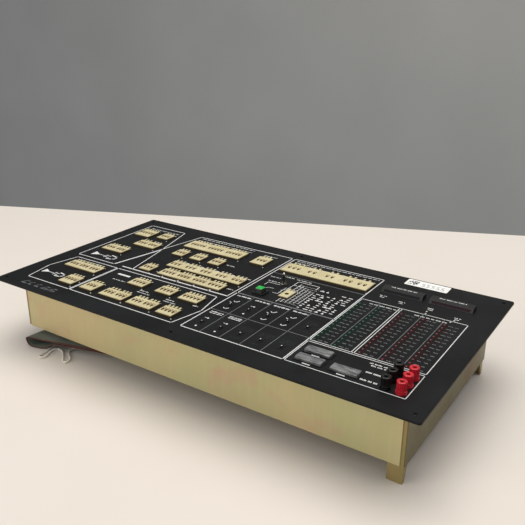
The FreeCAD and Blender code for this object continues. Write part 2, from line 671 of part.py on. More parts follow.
def make_toggle():
    x, y = TOGGLE
    body_bottom = PANEL_UNDER - 10.0
    body = centred_block(x, y, 8.0, 13.0, body_bottom, PANEL_UNDER)
    bushing = rod(x, y, BUSHING_R, PANEL_UNDER, PANEL_TOP + BUSHING_HEIGHT)
    bore_bottom = PANEL_TOP + LEVER_PIVOT_Z - LEVER_BALL_R - 0.5
    bore = rod(x, y, BUSHING_BORE_R, bore_bottom, PANEL_TOP + 20)
    body = body.fuse(bushing).cut(bore).removeSplitter()
    nut = hexagon(x, y, 8.0, PANEL_TOP, PANEL_TOP + 2.2)
    nut = nut.cut(rod(x, y, BUSHING_R, PANEL_TOP - 1, PANEL_TOP + 20))
    pivot_z = PANEL_TOP + LEVER_PIVOT_Z
    ball = Part.makeSphere(LEVER_BALL_R, V(x, y, pivot_z))
    tip_z = PANEL_TOP + LEVER_TIP_Z
    stem = Part.makeCone(LEVER_ROOT_R, LEVER_TIP_R, tip_z - pivot_z, V(x, y, pivot_z))
    tip = Part.makeSphere(LEVER_TIP_R, V(x, y, tip_z))
    return body, nut, ball.fuse([stem, tip]).removeSplitter()


def slide_neck_size(gap=0.0):
    return (SLIDER_WIDTH + 2 * SIDE_CLEAR + 2 * SLIDE_RIM + gap,
            SLIDER_LENGTH + 2 * SLIDER_TRAVEL + 2 * SIDE_CLEAR + 2 * SLIDE_RIM + gap)


def make_slide_switch(x, y):
    neck_x, neck_y = slide_neck_size()
    body = centred_block(x, y, neck_x, neck_y, BOARD_TOP, PANEL_TOP + SLIDE_RIM_HEIGHT)
    well_bottom = PANEL_UNDER - 2.0
    well = centred_block(x, y, neck_x - 2 * SLIDE_RIM, neck_y - 2 * SLIDE_RIM, well_bottom,
                         PANEL_TOP + 20)
    top = PANEL_TOP + SLIDER_HEIGHT
    knob = centred_block(x, y, SLIDER_WIDTH, SLIDER_LENGTH, well_bottom + SIDE_CLEAR, top)
    return body.cut(well), knob.makeFillet(0.8, edges_at(knob, top))


# ---- binding posts -------------------------------------------------------------------
def make_post(x, y):
    core_bottom = PANEL_TOP - 13.0
    collar = rod(x, y, COLLAR_R, PANEL_TOP, PANEL_TOP + COLLAR_HEIGHT)
    collar = collar.fuse(rod(x, y, SHOULDER_R, PANEL_UNDER, PANEL_TOP))
    collar = collar.cut(rod(x, y, CORE_R, PANEL_UNDER - 1, PANEL_TOP + 20)).removeSplitter()
    core_top = PANEL_TOP + CORE_TOP
    core = rod(x, y, CORE_R, core_bottom, core_top)
    core = core.cut(rod(x, y, SOCKET_R, core_top - SOCKET_DEPTH, core_top + 1))
    nut = hexagon(x, y, POST_NUT_FLATS, PANEL_UNDER - 3.0, PANEL_UNDER)
    nut = nut.cut(rod(x, y, CORE_R, core_bottom - 1, PANEL_TOP))
    cap_bottom = PANEL_TOP + COLLAR_HEIGHT + CAP_GAP
    cap_top = PANEL_TOP + CAP_TOP
    cap = rod(x, y, CAP_R, cap_bottom, cap_top)
    cap = cap.makeFillet(1.0, edges_at(cap, cap_top))
    cap = cap.cut(rod(x, y, CORE_R + CORE_FIT, cap_bottom - 1, core_top + CAP_GAP))
    return collar, [core, nut], cap.cut(rod(x, y, CAP_MOUTH_R, cap_bottom, cap_top + 1))


# ---- cables --------------------------------------------------------------------------
def on_ribbon(shape):
    """Put a shape drawn in the ribbon's own X and Z, from its near edge, where it lies."""
    moved = shape.copy()
    moved.Placement = FreeCAD.Placement(V(left(RIBBON_LEFT_IN), front(RIBBON_FRONT_IN), 0),
                                        FreeCAD.Rotation(V(0, 0, 1), RIBBON_YAW))
    return moved


def ribbon_band(s0, s1, z0, z1, extra):
    """A bar across the ribbon, extra wider at each side."""
    across = V(RIBBON_SKEW, RIBBON_WIDTH, 0)
    more = across * (extra / RIBBON_WIDTH)
    points = [V(s0, 0, z0), V(s1, 0, z0), V(s1, 0, z1), V(s0, 0, z1)]
    points = [point - more for point in points]
    bar = Part.Face(Part.makePolygon(points + points[:1])).extrude(across + more * 2)
    return on_ribbon(bar)


# The ribbon's centre line: along its near edge from the tip of its fold, above the bench.
RIBBON_ROUTE = [
    (146.0, 29.0), (146.0, 18.0), (140.5, 15.7), (129.0, 15.5), (108.0, 16.0), (75.0, 16.5),
    (42.0, 16.2), (20.0, 16.5), (9.5, 16.8), (0.6, 16.9), (0.9, 11.5), (2.6, 5.9), (8.0, 1.7),
    (17.0, 0.7), (27.5, 0.8), (36.5, 3.9), (44.0, 8.6), (53.0, 12.4), (66.0, 13.2),
    (90.0, 12.9), (112.0, 13.2), (135.0, 12.9), (151.0, 12.8), (159.0, 13.8), (164.0, 19.0),
    (164.0, 29.0),
]

LEAD_EXIT = (left(152.0), front(112.0))

# The white lead's centre line: from the left edge, from the front edge, above the bench.
LEAD_ROUTE = [
    (152.0, 112.0, 29.0), (152.0, 112.0, 18.5), (150.0, 109.0, 9.3), (143.5, 102.0, 3.4),
    (133.0, 92.5, 1.75), (121.0, 81.0, 1.75), (110.5, 68.5, 1.75), (99.0, 56.5, 1.75),
    (88.0, 46.0, 1.75), (80.7, 35.0, 1.75), (81.2, 24.5, 1.75), (84.5, 14.5, 1.75),
    (86.0, 5.0, 1.75), (87.2, -1.6, 1.75), (92.5, -4.6, 1.75), (97.2, -0.6, 1.75),
    (95.8, 6.2, 1.75), (91.5, 15.0, 1.75), (88.8, 23.5, 1.75), (92.5, 30.3, 1.75),
    (101.8, 30.4, 1.75), (111.5, 25.0, 1.75), (121.0, 16.6, 1.75), (129.0, 9.0, 1.75),
    (135.8, 6.8, 1.75), (139.0, 12.2, 1.75), (134.5, 19.3, 1.75), (125.0, 25.2, 1.75),
    (115.5, 31.5, 1.75), (112.0, 41.5, 1.75), (117.5, 52.5, 1.75),
]


def rounded_path(points):
    """Straight runs joined by tangent arcs, each as large as its two runs allow. Gives the
    path's edges and, for each edge, its ends and its arc's centre, or None when straight."""
    spans = []
    radii = []
    last = points[0]
    for before, here, after in zip(points, points[1:], points[2:]):
        run_in, run_out = here - before, after - here
        half_turn = run_in.getAngle(run_out) / 2
        reach = 0.45 * min(run_in.Length, run_out.Length)
        radii.append(reach / math.tan(half_turn))
        direction_in = V(run_in).normalize()
        direction_out = V(run_out).normalize()
        start = here - direction_in * reach
        end = here + direction_out * reach
        inward = (direction_out - direction_in).normalize()
        spans.append((last, start, None))
        spans.append((start, end, here + inward * (radii[-1] / math.cos(half_turn))))
        last = end
    spans.append((last, points[-1], None))
    return spans, radii


def span_edge(start, end, centre):
    if centre is None:
        return Part.LineSegment(start, end).toShape()
    inward = ((start + end) * 0.5 - centre).normalize()
    return Part.Arc(start, centre + inward * start.distanceToPoint(centre), end).toShape()


def offset_span(start, end, centre, offset):
    """The same span moved sideways in the X-Z plane, to the left of its travel."""
    if centre is None:
        along = (end - start).normalize()
        side = V(-along.z, 0, along.x) * offset
        return span_edge(start + side, end + side, None)
    turning_left = (start - centre).cross(end - centre).y < 0
    grow = -offset if turning_left else offset
    moved = [centre + (point - centre) * ((point.distanceToPoint(centre) + grow)
                                          / point.distanceToPoint(centre))
             for point in (start, end)]
    return span_edge(*moved, centre)


def report_cable(name, radii, length, volume, section):
    print(name, "radii", [round(radius, 1) for radius in radii])
    print(name, "length", round(length, 1), "volume over section times length",
          round(volume / (section * length), 3))


def make_ribbon():
    half = RIBBON_THICK / 2
    spans, radii = rounded_path([V(s, 0, z) for s, z in RIBBON_ROUTE])
    edges = [offset_span(*span, half) for span in spans]
    edges += [offset_span(*span, -half) for span in spans]
    for (start, end, _), tip in ((spans[0], spans[0][0]), (spans[-1], spans[-1][1])):
        along = (end - start).normalize()
        side = V(-along.z, 0, along.x) * half
        edges.append(Part.LineSegment(tip + side, tip - side).toShape())
    outline = Part.Wire(Part.__sortEdges__(edges))
    strip = Part.Face(outline).extrude(V(RIBBON_SKEW, RIBBON_WIDTH, 0))
    length = sum(span_edge(*span).Length for span in spans)
    report_cable("ribbon", radii, length, strip.Volume, RIBBON_WIDTH * RIBBON_THICK)
    return on_ribbon(strip)


def make_lead():
    points = [V(left(x), front(y), z) for x, y, z in LEAD_ROUTE]
    spans, radii = rounded_path(points)
    path = Part.Wire([span_edge(*span) for span in spans])
    ring = Part.Wire([Part.Circle(points[0], points[1] - points[0], LEAD_R).toShape()])
    tube = path.makePipeShell([ring], True, False)
    report_cable("lead", radii, path.Length, tube.Volume, math.pi * LEAD_R ** 2)
    return tube


def make_lead_plug():
    """A small two-way housing lying on the bench, its back face on the end of the lead."""
    x, y, _ = LEAD_ROUTE[-1]
    before = LEAD_ROUTE[-2]
    heading = math.degrees(math.atan2(y - before[1], x - before[0]))
    width, length, height = LEAD_PLUG
    plug = block(0, length, -width / 2, width / 2, 0, height)
    plug = plug.makeChamfer(0.5, edges_at(plug, height))
    plug.Placement = FreeCAD.Placement(V(left(x), front(y), 0),
                                       FreeCAD.Rotation(V(0, 0, 1), heading))
    return plug


def make_grommet():
    x, y = LEAD_EXIT
    z0 = CASE_BOTTOM + SHEET
    ring = rod(x, y, GROMMET_R, z0 - GROMMET_LIP, z0)
    ring = ring.fuse(rod(x, y, GROMMET_R - GROMMET_LIP, z0, BASE_TOP))
    return ring.cut(rod(x, y, LEAD_R, z0 - 5, BASE_TOP + 5)).removeSplitter()


# ---- build ---------------------------------------------------------------------------
def build():
    os.makedirs("parts", exist_ok=True)
    terminals = terminal_list()
    export("front_panel", [make_panel(terminals)])
    export("case_front", [make_end_plate(CASE_Y0, 1, terminals)])
    export("case_rear", [make_end_plate(CASE_Y1, -1, terminals)])
    export("case_left", [make_side_plate(CASE_X0, 1, terminals)])
    export("case_right", [make_side_plate(CASE_X1, -1, terminals)])
    export("base_plate", [make_base_plate()])
    export("corner_post_front_left", [make_corner_post(-1, -1, CASE_BOTTOM)])
    export("corner_leg_front_right", [make_corner_post(1, -1, 0)])
    export("corner_leg_rear_left", [make_corner_post(-1, 1, 0)])
    export("corner_leg_rear_right", [make_corner_post(1, 1, 0)])
    export("leg_left_side", [make_left_leg()])
    export("fasteners", make_panel_fixings() + make_screws())
    export("main_board", [make_main_board()])
    export("spacers", make_spacers())
    x0, x1, y0, y1 = interface_corners()
    export("interface_board", [block(x0, x1, y0, y1, INTERFACE_BOTTOM,
                                     INTERFACE_BOTTOM + BOARD_THICK)])
    export("board_connectors", make_board_connectors())

    rows = {}
    for node, x, y, length, depth, contacts in terminals:
        rows.setdefault(node, []).append(make_terminal(x, y, length, depth, contacts))
    x, y, length, depth = SINGLE_TERMINAL
    rows["terminals_right_rear"].append(make_terminal(x, y, length, depth, [3.4], single=True))
    for node, blocks in rows.items():
        export(node, blocks)
    export("contact_springs", make_springs(terminals))

    export("display_bezels", [make_bezel(x) for x in BEZELS])
    window_low = PANEL_TOP + BEZEL_LIP + 0.7
    export("display_windows", [window_shape(x, window_low) for x in BEZELS])
    export("display_modules", [make_display_module(x) for x in BEZELS])
    export("green_lamps", [make_lamp(x, y) for x, y in lamp_places(GREEN_LAMP_COLUMNS)])
    export("red_lamps", [make_lamp(x, y) for x, y in lamp_places(RED_LAMP_COLUMNS)])

    housing, cap = make_button()
    export("start_button_housing", [housing])
    export("start_button_cap", [cap])
    body, nut, lever = make_toggle()
    export("toggle_body_and_nut", [body, nut])
    export("toggle_lever", [lever])
    frames = []
    for name, x, y in KEYS:
        frame, cap = make_key(x, y)
        frames.append(frame)
        export(name + "_cap", [cap])
    export("key_frames", frames)
    bodies = []
    for row, y in enumerate(SLIDE_ROWS, 1):
        for column, x in enumerate(SLIDE_COLUMNS, 1):
            body, knob = make_slide_switch(x, y)
            bodies.append(body)
            export("slider_" + str(row) + "_" + str(column), [knob])
    export("slide_switch_bodies", bodies)

    collars = {"red": [], "black": []}
    cores = []
    for number, (colour, x, y) in enumerate(post_places()):
        collar, core, cap = make_post(x, y)
        collars[colour].append(collar)
        cores += core
        export("post_cap_" + colour + "_" + str(number % 3 + 1), [cap])
    export("post_collars_red", collars["red"])
    export("post_collars_black", collars["black"])
    export("post_cores_and_nuts", cores)

    export("ribbon_cable", [make_ribbon()])
    export("white_lead", [make_lead()])
    export("lead_plug", [make_lead_plug()])
    export("lead_grommet", [make_grommet()])


build()
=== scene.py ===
import math
import random

import bmesh
import bpy
from mathutils import Matrix, Vector


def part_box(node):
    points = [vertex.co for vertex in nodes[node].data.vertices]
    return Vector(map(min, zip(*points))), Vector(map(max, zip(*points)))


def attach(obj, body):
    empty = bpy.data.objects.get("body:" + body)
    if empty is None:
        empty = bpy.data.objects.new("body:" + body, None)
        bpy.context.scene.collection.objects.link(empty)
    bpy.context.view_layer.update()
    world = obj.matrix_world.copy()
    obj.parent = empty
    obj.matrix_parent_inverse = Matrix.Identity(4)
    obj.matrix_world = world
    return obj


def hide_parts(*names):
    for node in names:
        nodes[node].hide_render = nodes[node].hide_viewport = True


# A bench training console: matt black panel with printed zones, cream spring terminals,
# lamps, switches and 4 mm posts, on a yellow-passivated sheet-steel case.

MM = 0.001
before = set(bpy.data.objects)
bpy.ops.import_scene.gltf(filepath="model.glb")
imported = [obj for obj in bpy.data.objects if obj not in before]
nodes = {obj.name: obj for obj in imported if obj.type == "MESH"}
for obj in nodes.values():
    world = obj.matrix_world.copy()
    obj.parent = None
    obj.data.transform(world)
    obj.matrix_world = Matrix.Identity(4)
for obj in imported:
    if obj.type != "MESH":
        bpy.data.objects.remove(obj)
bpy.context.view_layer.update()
dice = random.Random(11)

# ---- camera --------------------------------------------------------------------------
CAMERA_PLACE = (0.53804, -0.76043, 0.51821)
CAMERA_RIGHT = Vector((0.83173, 0.55517, 0.00326))
CAMERA_UP = Vector((-0.2036, 0.29956, 0.9321))
CAMERA_BACK = Vector((0.5165, -0.7759, 0.3622))
LENS_MM = 46.17

camera = bpy.data.objects.new("camera", bpy.data.cameras.new("camera"))
camera.data.lens = LENS_MM
camera.data.sensor_width = 36
camera.matrix_world = Matrix.Translation(CAMERA_PLACE) @ Matrix(
    (CAMERA_RIGHT, CAMERA_UP, CAMERA_BACK)).transposed().to_4x4()
bpy.context.scene.collection.objects.link(camera)
bpy.context.scene.camera = camera


# ---- small helpers -------------------------------------------------------------------
def linear(code):
    """An sRGB hex colour as linear red, green, blue and alpha."""
    parts = [int(code[i:i + 2], 16) / 255 for i in (1, 3, 5)]
    return [c / 12.92 if c <= 0.04045 else ((c + 0.055) / 1.055) ** 2.4 for c in parts] + [1.0]


def add(material, kind, inputs, **settings):
    """Add a node: settings are its own choices, inputs are its sockets' values or links."""
    tree = material.node_tree
    node = tree.nodes.new("ShaderNode" + kind)
    for name, value in settings.items():
        setattr(node, name, value)
    for name, value in inputs.items():
        if isinstance(value, bpy.types.NodeSocket):
            tree.links.new(value, node.inputs[name])
        else:
            node.inputs[name].default_value = value
    return node


def finish(name, colour, roughness, metallic=0.0, **even):
    """Start a material with its even values. Gives it, its shader and its place in metres."""
    material = bpy.data.materials.new(name)
    material.use_nodes = True
    shader = material.node_tree.nodes["Principled BSDF"]
    shader.inputs["Base Color"].default_value = linear(colour)
    shader.inputs["Roughness"].default_value = roughness
    shader.inputs["Metallic"].default_value = metallic
    for socket, value in even.items():
        shader.inputs[socket.replace("_", " ")].default_value = value
    return material, shader, add(material, "TexCoord", {}).outputs["Object"]


def feed(material, shader, **links):
    for socket, value in links.items():
        material.node_tree.links.new(value, shader.inputs[socket.replace("_", " ")])


FACTOR, FIRST, SECOND, MIXED = 0, 6, 7, 2      # the Mix node's colour sockets


def per_mm(size):
    """A texture scale that puts one feature in that many millimetres."""
    return 1 / (size * MM)


def moulded(name, light, dark, roughness, mottle_mm, grain_mm, grain_depth_mm, metallic=0.0,
            **even):
    """A surface with slow colour change, uneven gloss and a fine grain."""
    material, shader, place = finish(name, light, roughness, metallic, **even)
    slow = add(material, "TexNoise", {"Vector": place, "Scale": per_mm(mottle_mm),
                                      "Detail": 4.0}).outputs[0]
    spread = add(material, "MapRange", {"Value": slow, "From Min": 0.35, "From Max": 0.65})
    tone = add(material, "Mix", {FACTOR: spread.outputs[0], FIRST: linear(light),
                                 SECOND: linear(dark)}, data_type="RGBA")
    gloss = add(material, "MapRange", {"Value": slow, "From Min": 0.3, "From Max": 0.7,
                                       "To Min": roughness * 0.85, "To Max": roughness * 1.15})
    grain = add(material, "TexNoise", {"Vector": place, "Scale": per_mm(grain_mm),
                                       "Detail": 2.0}).outputs[0]
    relief = add(material, "Bump", {"Height": grain, "Distance": grain_depth_mm * MM,
                                    "Strength": 1.0})
    feed(material, shader, Base_Color=tone.outputs[MIXED], Roughness=gloss.outputs[0],
         Normal=relief.outputs[0])
    return material


# ---- materials -----------------------------------------------------------------------
# Stove-enamelled steel, sprayed: matt black with a fine orange peel, greyer where dust and
# hands have dulled it, and a few hairline scuffs.
def black_enamel():
    material, shader, place = finish("black_stove_enamel", "#111315", 0.55,
                                     Specular_IOR_Level=0.16)
    dust = add(material, "TexNoise", {"Vector": place, "Scale": per_mm(90), "Detail": 6.0,
                                      "Roughness": 0.6}).outputs[0]
    dusty = add(material, "MapRange", {"Value": dust, "From Min": 0.4, "From Max": 0.7})
    tone = add(material, "Mix", {FACTOR: dusty.outputs[0], FIRST: linear("#0f1112"),
                                 SECOND: linear("#1a1c1e")}, data_type="RGBA")
    along = add(material, "Mapping", {"Vector": place, "Rotation": (0, 0, 0.5),
                                      "Scale": (1, 14, 1)})
    hair = add(material, "TexNoise", {"Vector": along.outputs[0], "Scale": per_mm(60),
                                      "Detail": 8.0}).outputs[0]
    scuff = add(material, "MapRange", {"Value": hair, "From Min": 0.66, "From Max": 0.72,
                                       "To Max": 0.2})
    scuffed = add(material, "Mix", {FACTOR: scuff.outputs[0], FIRST: tone.outputs[MIXED],
                                    SECOND: linear("#26282a")}, data_type="RGBA")
    gloss = add(material, "MapRange", {"Value": dust, "From Min": 0.3, "From Max": 0.7,
                                       "To Min": 0.42, "To Max": 0.58})
    # Orange peel is about 0.5 mm across, drawn at 1 mm so that it shows.
    peel = add(material, "TexNoise", {"Vector": place, "Scale": per_mm(1.0)}).outputs[0]
    relief = add(material, "Bump", {"Height": peel, "Distance": 0.02 * MM, "Strength": 1.0})
    feed(material, shader, Base_Color=scuffed.outputs[MIXED], Roughness=gloss.outputs[0],
         Normal=relief.outputs[0])
    return material


# Zinc-plated steel sheet, dipped in yellow chromate: a satin film that drifts between straw,
# green and rose, with faint upright run marks and paler blooms.
def yellow_zinc(name, straw, green, rose, bloom):
    material, shader, place = finish(name, straw, 0.42, metallic=0.35)
    stretched = add(material, "Mapping", {"Vector": place, "Scale": (1.0, 1.0, 0.6)})
    cloud = add(material, "TexNoise", {"Vector": stretched.outputs[0], "Scale": per_mm(160),
                                       "Detail": 4.0, "Distortion": 0.6}).outputs[0]
    to_green = add(material, "MapRange", {"Value": cloud, "From Min": 0.38, "From Max": 0.62})
    first = add(material, "Mix", {FACTOR: to_green.outputs[0], FIRST: linear(straw),
                                  SECOND: linear(green)}, data_type="RGBA")
    shifted = add(material, "Mapping", {"Vector": place, "Location": (0.37, 0.21, 0.5)})
    patch = add(material, "TexNoise", {"Vector": shifted.outputs[0], "Scale": per_mm(75),
                                       "Detail": 5.0, "Distortion": 0.8}).outputs[0]
    to_rose = add(material, "MapRange", {"Value": patch, "From Min": 0.52, "From Max": 0.7,
                                         "To Max": 0.75})
    second = add(material, "Mix", {FACTOR: to_rose.outputs[0], FIRST: first.outputs[MIXED],
                                   SECOND: linear(rose)}, data_type="RGBA")
    # Run marks are 2 to 3 mm wide and as tall as the sheet.
    upright = add(material, "Mapping", {"Vector": place, "Scale": (1.0, 1.0, 0.12)})
    run = add(material, "TexNoise", {"Vector": upright.outputs[0], "Scale": per_mm(7),
                                     "Detail": 3.0}).outputs[0]
    to_bloom = add(material, "MapRange", {"Value": run, "From Min": 0.45, "From Max": 0.75,
                                          "To Max": 0.16})
    third = add(material, "Mix", {FACTOR: to_bloom.outputs[0], FIRST: second.outputs[MIXED],
                                  SECOND: linear(bloom)}, data_type="RGBA")
    gloss = add(material, "MapRange", {"Value": patch, "From Min": 0.3, "From Max": 0.7,
                                       "To Min": 0.34, "To Max": 0.5})
    roll = add(material, "TexNoise", {"Vector": upright.outputs[0], "Scale": per_mm(1.5),
                                      "Detail": 2.0}).outputs[0]
    relief = add(material, "Bump", {"Height": roll, "Distance": 0.02 * MM, "Strength": 1.0})
    feed(material, shader, Base_Color=third.outputs[MIXED], Roughness=gloss.outputs[0],
         Normal=relief.outputs[0])
    return material


# Injection-moulded nylon blocks: cream faces gone a little yellow. The sides are made darker
# and browner by the way they face: painted shade.
def cream_block():
    material, shader, place = finish("cream_moulded_nylon", "#e6dba6", 0.45)
    age = add(material, "TexNoise", {"Vector": place, "Scale": per_mm(18), "Detail": 3.0})
    aged = add(material, "MapRange", {"Value": age.outputs[0], "From Min": 0.35,
                                      "From Max": 0.65})
    top = add(material, "Mix", {FACTOR: aged.outputs[0], FIRST: linear("#d6cda6"),
                                SECOND: linear("#c9be94")}, data_type="RGBA")
    facing = add(material, "NewGeometry", {}).outputs["Normal"]
    rise = add(material, "SeparateXYZ", {"Vector": facing}).outputs["Z"]
    # Painted shade: faces that turn away from upright fade to dark brown.
    side = add(material, "MapRange", {"Value": rise, "From Min": 0.5, "From Max": 0.95,
                                      "To Min": 1.0, "To Max": 0.0})
    tone = add(material, "Mix", {FACTOR: side.outputs[0], FIRST: top.outputs[MIXED],
                                 SECOND: linear("#4a3a1c")}, data_type="RGBA")
    grain = add(material, "TexNoise", {"Vector": place, "Scale": per_mm(0.8)}).outputs[0]
    relief = add(material, "Bump", {"Height": grain, "Distance": 0.02 * MM, "Strength": 1.0})
    feed(material, shader, Base_Color=tone.outputs[MIXED], Normal=relief.outputs[0])
    return material


# Smoked acrylic window: polished, nearly black, greenish on the left half of the panel's
# displays and wine red on the right.
def smoked_acrylic(middle_x):
    material, shader, place = finish("smoked_acrylic", "#0c0d0d", 0.12, IOR=1.49)
    x = add(material, "SeparateXYZ", {"Vector": place}).outputs["X"]
    to_red = add(material, "MapRange", {"Value": x, "From Min": middle_x - MM,
                                        "From Max": middle_x + MM})
    cloud = add(material, "TexNoise", {"Vector": place, "Scale": per_mm(9)}).outputs[0]
    red = add(material, "Mix", {FACTOR: cloud, FIRST: linear("#2e1012"),
                                SECOND: linear("#160b0c")}, data_type="RGBA")
    tone = add(material, "Mix", {FACTOR: to_red.outputs[0], FIRST: linear("#0c100f"),
                                 SECOND: red.outputs[MIXED]}, data_type="RGBA")
    feed(material, shader, Base_Color=tone.outputs[MIXED])
    return material


# Turned brass lever: dull and brown along the shank. Its ball is painted near white as a
# painted highlight.
def turned_lever(high_z):
    material, shader, place = finish("aged_brass_lever", "#8a7a5c", 0.28, metallic=1.0)
    height = add(material, "SeparateXYZ", {"Vector": place}).outputs["Z"]
    # Painted highlight: the top of the lever fades to near white.
    tip_highlight_mask = add(material, "MapRange", {"Value": height, "From Min": high_z - 4 * MM,
                                           "From Max": high_z - 2.5 * MM})
    stain = add(material, "TexNoise", {"Vector": place, "Scale": per_mm(2.5)}).outputs[0]
    shank = add(material, "Mix", {FACTOR: stain, FIRST: linear("#6a5a40"),
                                  SECOND: linear("#3f3424")}, data_type="RGBA")
    tone = add(material, "Mix", {FACTOR: tip_highlight_mask.outputs[0], FIRST: shank.outputs[MIXED],
                                 SECOND: linear("#f2efe6")}, data_type="RGBA")
    feed(material, shader, Base_Color=tone.outputs[MIXED])
    return material


# Glass-epoxy board with a green solder mask: darker copper tracks 1 mm wide show through.
def solder_mask():
    material, shader, place = finish("green_solder_mask", "#1d4a2c", 0.35, IOR=1.5)
    lines = add(material, "TexBrick", {"Vector": place, "Scale": 1.0,
                                       "Color1": linear("#1f5230"), "Color2": linear("#28603a"),
                                       "Mortar": linear("#3d7a4a"), "Mortar Size": 0.4 * MM,
                                       "Brick Width": 17 * MM, "Row Height": 2.54 * MM},
                offset=0.35)
    feed(material, shader, Base_Color=lines.outputs["Color"])
    return material


panel_enamel = black_enamel()
front_zinc = yellow_zinc("yellow_zinc_front", "#c9b98a", "#bcb887", "#c8a688", "#d4cba8")
# The sides' copy of the film is darker all over: painted shade for the walls, rear and base
# that face away from the light.
side_zinc_painted_shade = yellow_zinc("yellow_zinc_sides_painted_shade", "#6f6641", "#635e3a", "#745a38", "#7c7355")
fold_zinc = yellow_zinc("yellow_zinc_folds", "#a58e5e", "#8f8450", "#b07c56", "#b8a67e")
# Nickel-plated steel and brass, barrel polished: neutral and bright with a soft haze.
bright_nickel = moulded("bright_nickel_plate", "#c9c7c0", "#a8a69e", 0.24, 12, 0.6, 0.01,
                        metallic=1.0)
# Spring steel, oil-hardened: brown and dull inside the slots.
brown_spring = moulded("brown_spring_steel", "#4c3a20", "#2c2214", 0.45, 5, 0.5, 0.02,
                       metallic=0.6)
cream_nylon = cream_block()
# Phenolic and ABS mouldings, spark-textured tool: black with a slight grey bloom.
black_abs = moulded("black_moulded_abs", "#0d0e10", "#151618", 0.42, 25, 0.8, 0.03)
black_phenolic = moulded("black_gloss_phenolic", "#08090a", "#0e0f10", 0.28, 10, 0.8, 0.01)
# Polycarbonate caps, gloss moulded, coloured through.
red_cap = moulded("red_moulded_polycarbonate", "#cf1f30", "#b81526", 0.3, 9, 0.8, 0.01,
                  Coat_Weight=0.25, Coat_Roughness=0.2)
# Compression-moulded rubber, matt.
grommet_rubber = moulded("black_moulded_rubber", "#151515", "#202020", 0.7, 8, 0.6, 0.04)
# Flat cable in extruded vinyl: dull grey, with a brown-red stripe that marks wire one.
ribbon_vinyl = moulded("grey_ribbon_vinyl", "#7c8278", "#6a7067", 0.55, 30, 0.7, 0.02)
stripe_vinyl = moulded("brown_stripe_vinyl", "#6d4038", "#5a322c", 0.55, 30, 0.7, 0.02)
# White lead: extruded vinyl insulation, and a moulded nylon plug.
lead_vinyl = moulded("white_lead_vinyl", "#f0ece2", "#ddd8cb", 0.5, 14, 0.6, 0.02)
plug_nylon = moulded("white_moulded_nylon", "#d8d3c2", "#c7c0ac", 0.45, 8, 0.6, 0.02)
board_mask = solder_mask()
# Epoxy lamp lenses: tinted clear, dark when unlit, with a small gloss highlight.
green_lens = moulded("green_epoxy_lens", "#1f6e52", "#134535", 0.2, 1.5, 0.4, 0.01,
                     Coat_Weight=0.5)
red_lens = moulded("red_epoxy_lens", "#8e333a", "#58191e", 0.2, 1.5, 0.4, 0.01,
                   Coat_Weight=0.5)
# Screen-printed epoxy ink: flat colour with slightly uneven cover.
white_ink = moulded("white_screen_ink", "#e8e9e8", "#cfd1d1", 0.6, 6, 0.5, 0.005)
grey_ink = moulded("grey_screen_ink", "#787c7d", "#606465", 0.6, 6, 0.5, 0.005)
dim_ink = moulded("worn_grey_ink", "#2c2f30", "#15171a", 0.6, 3, 0.5, 0.005,
                  Specular_IOR_Level=0.2)
silver_ink = moulded("silver_screen_ink", "#9a9c9d", "#66696b", 0.35, 5, 0.5, 0.005,
                     metallic=0.6)
# Brown round the slots: painted shade of the slot mouths.
painted_slot_shade = moulded("painted_slot_shade", "#86693a", "#4e3a1c", 0.5, 3, 0.6, 0.02)
# Vinyl label stock, printed in black.
label_vinyl = moulded("white_label_vinyl", "#ffffff", "#f4f4f1", 0.4, 20, 0.6, 0.005)
label_ink = moulded("black_label_ink", "#26282a", "#34373a", 0.5, 4, 0.5, 0.005)


# Translucent green polycarbonate with painted light and shade: the upward dished face is bright
# green, and the sides are near black because of how they face.
def green_polycarbonate():
    material, shader, place = finish("green_moulded_polycarbonate", "#12b34a", 0.3,
                                     Coat_Weight=0.4, Coat_Roughness=0.12)
    facing = add(material, "NewGeometry", {}).outputs["Normal"]
    rise = add(material, "SeparateXYZ", {"Vector": facing}).outputs["Z"]
    up = add(material, "MapRange", {"Value": rise, "From Min": 0.55, "From Max": 0.95})
    cloud = add(material, "TexNoise", {"Vector": place, "Scale": per_mm(6)}).outputs[0]
    face = add(material, "Mix", {FACTOR: cloud, FIRST: linear("#17c650"),
                                 SECOND: linear("#0ea23d")}, data_type="RGBA")
    # Painted shade on the sides and painted light on the upward face.
    tone = add(material, "Mix", {FACTOR: up.outputs[0], FIRST: linear("#04160b"),
                                 SECOND: face.outputs[MIXED]}, data_type="RGBA")
    feed(material, shader, Base_Color=tone.outputs[MIXED])
    return material


green_cap = green_polycarbonate()


# Smoked translucent caps of grey acrylic, ribbed inside. The paler streaks along the key are
# painted highlights on its ridges.
def ribbed_key():
    material, shader, place = finish("grey_translucent_acrylic", "#6f7171", 0.22, IOR=1.49,
                                     Coat_Weight=0.3)
    along = add(material, "Mapping", {"Vector": place, "Scale": (0.2, 1.0, 1.0)})
    ridge_highlight = add(material, "TexNoise", {"Vector": along.outputs[0], "Scale": per_mm(3.5),
                                      "Detail": 3.0}).outputs[0]
    spread = add(material, "MapRange", {"Value": ridge_highlight, "From Min": 0.35, "From Max": 0.68})
    # Painted highlight: paler streaks run along the key's ridges.
    tone = add(material, "Mix", {FACTOR: spread.outputs[0], FIRST: linear("#45484a"),
                                 SECOND: linear("#8d9090")}, data_type="RGBA")
    feed(material, shader, Base_Color=tone.outputs[MIXED])
    return material


key_acrylic = ribbed_key()
lever_brass = turned_lever(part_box("toggle_lever")[1].z)
window_low, window_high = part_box("display_windows")
window_acrylic = smoked_acrylic((window_low.x + window_high.x) / 2)

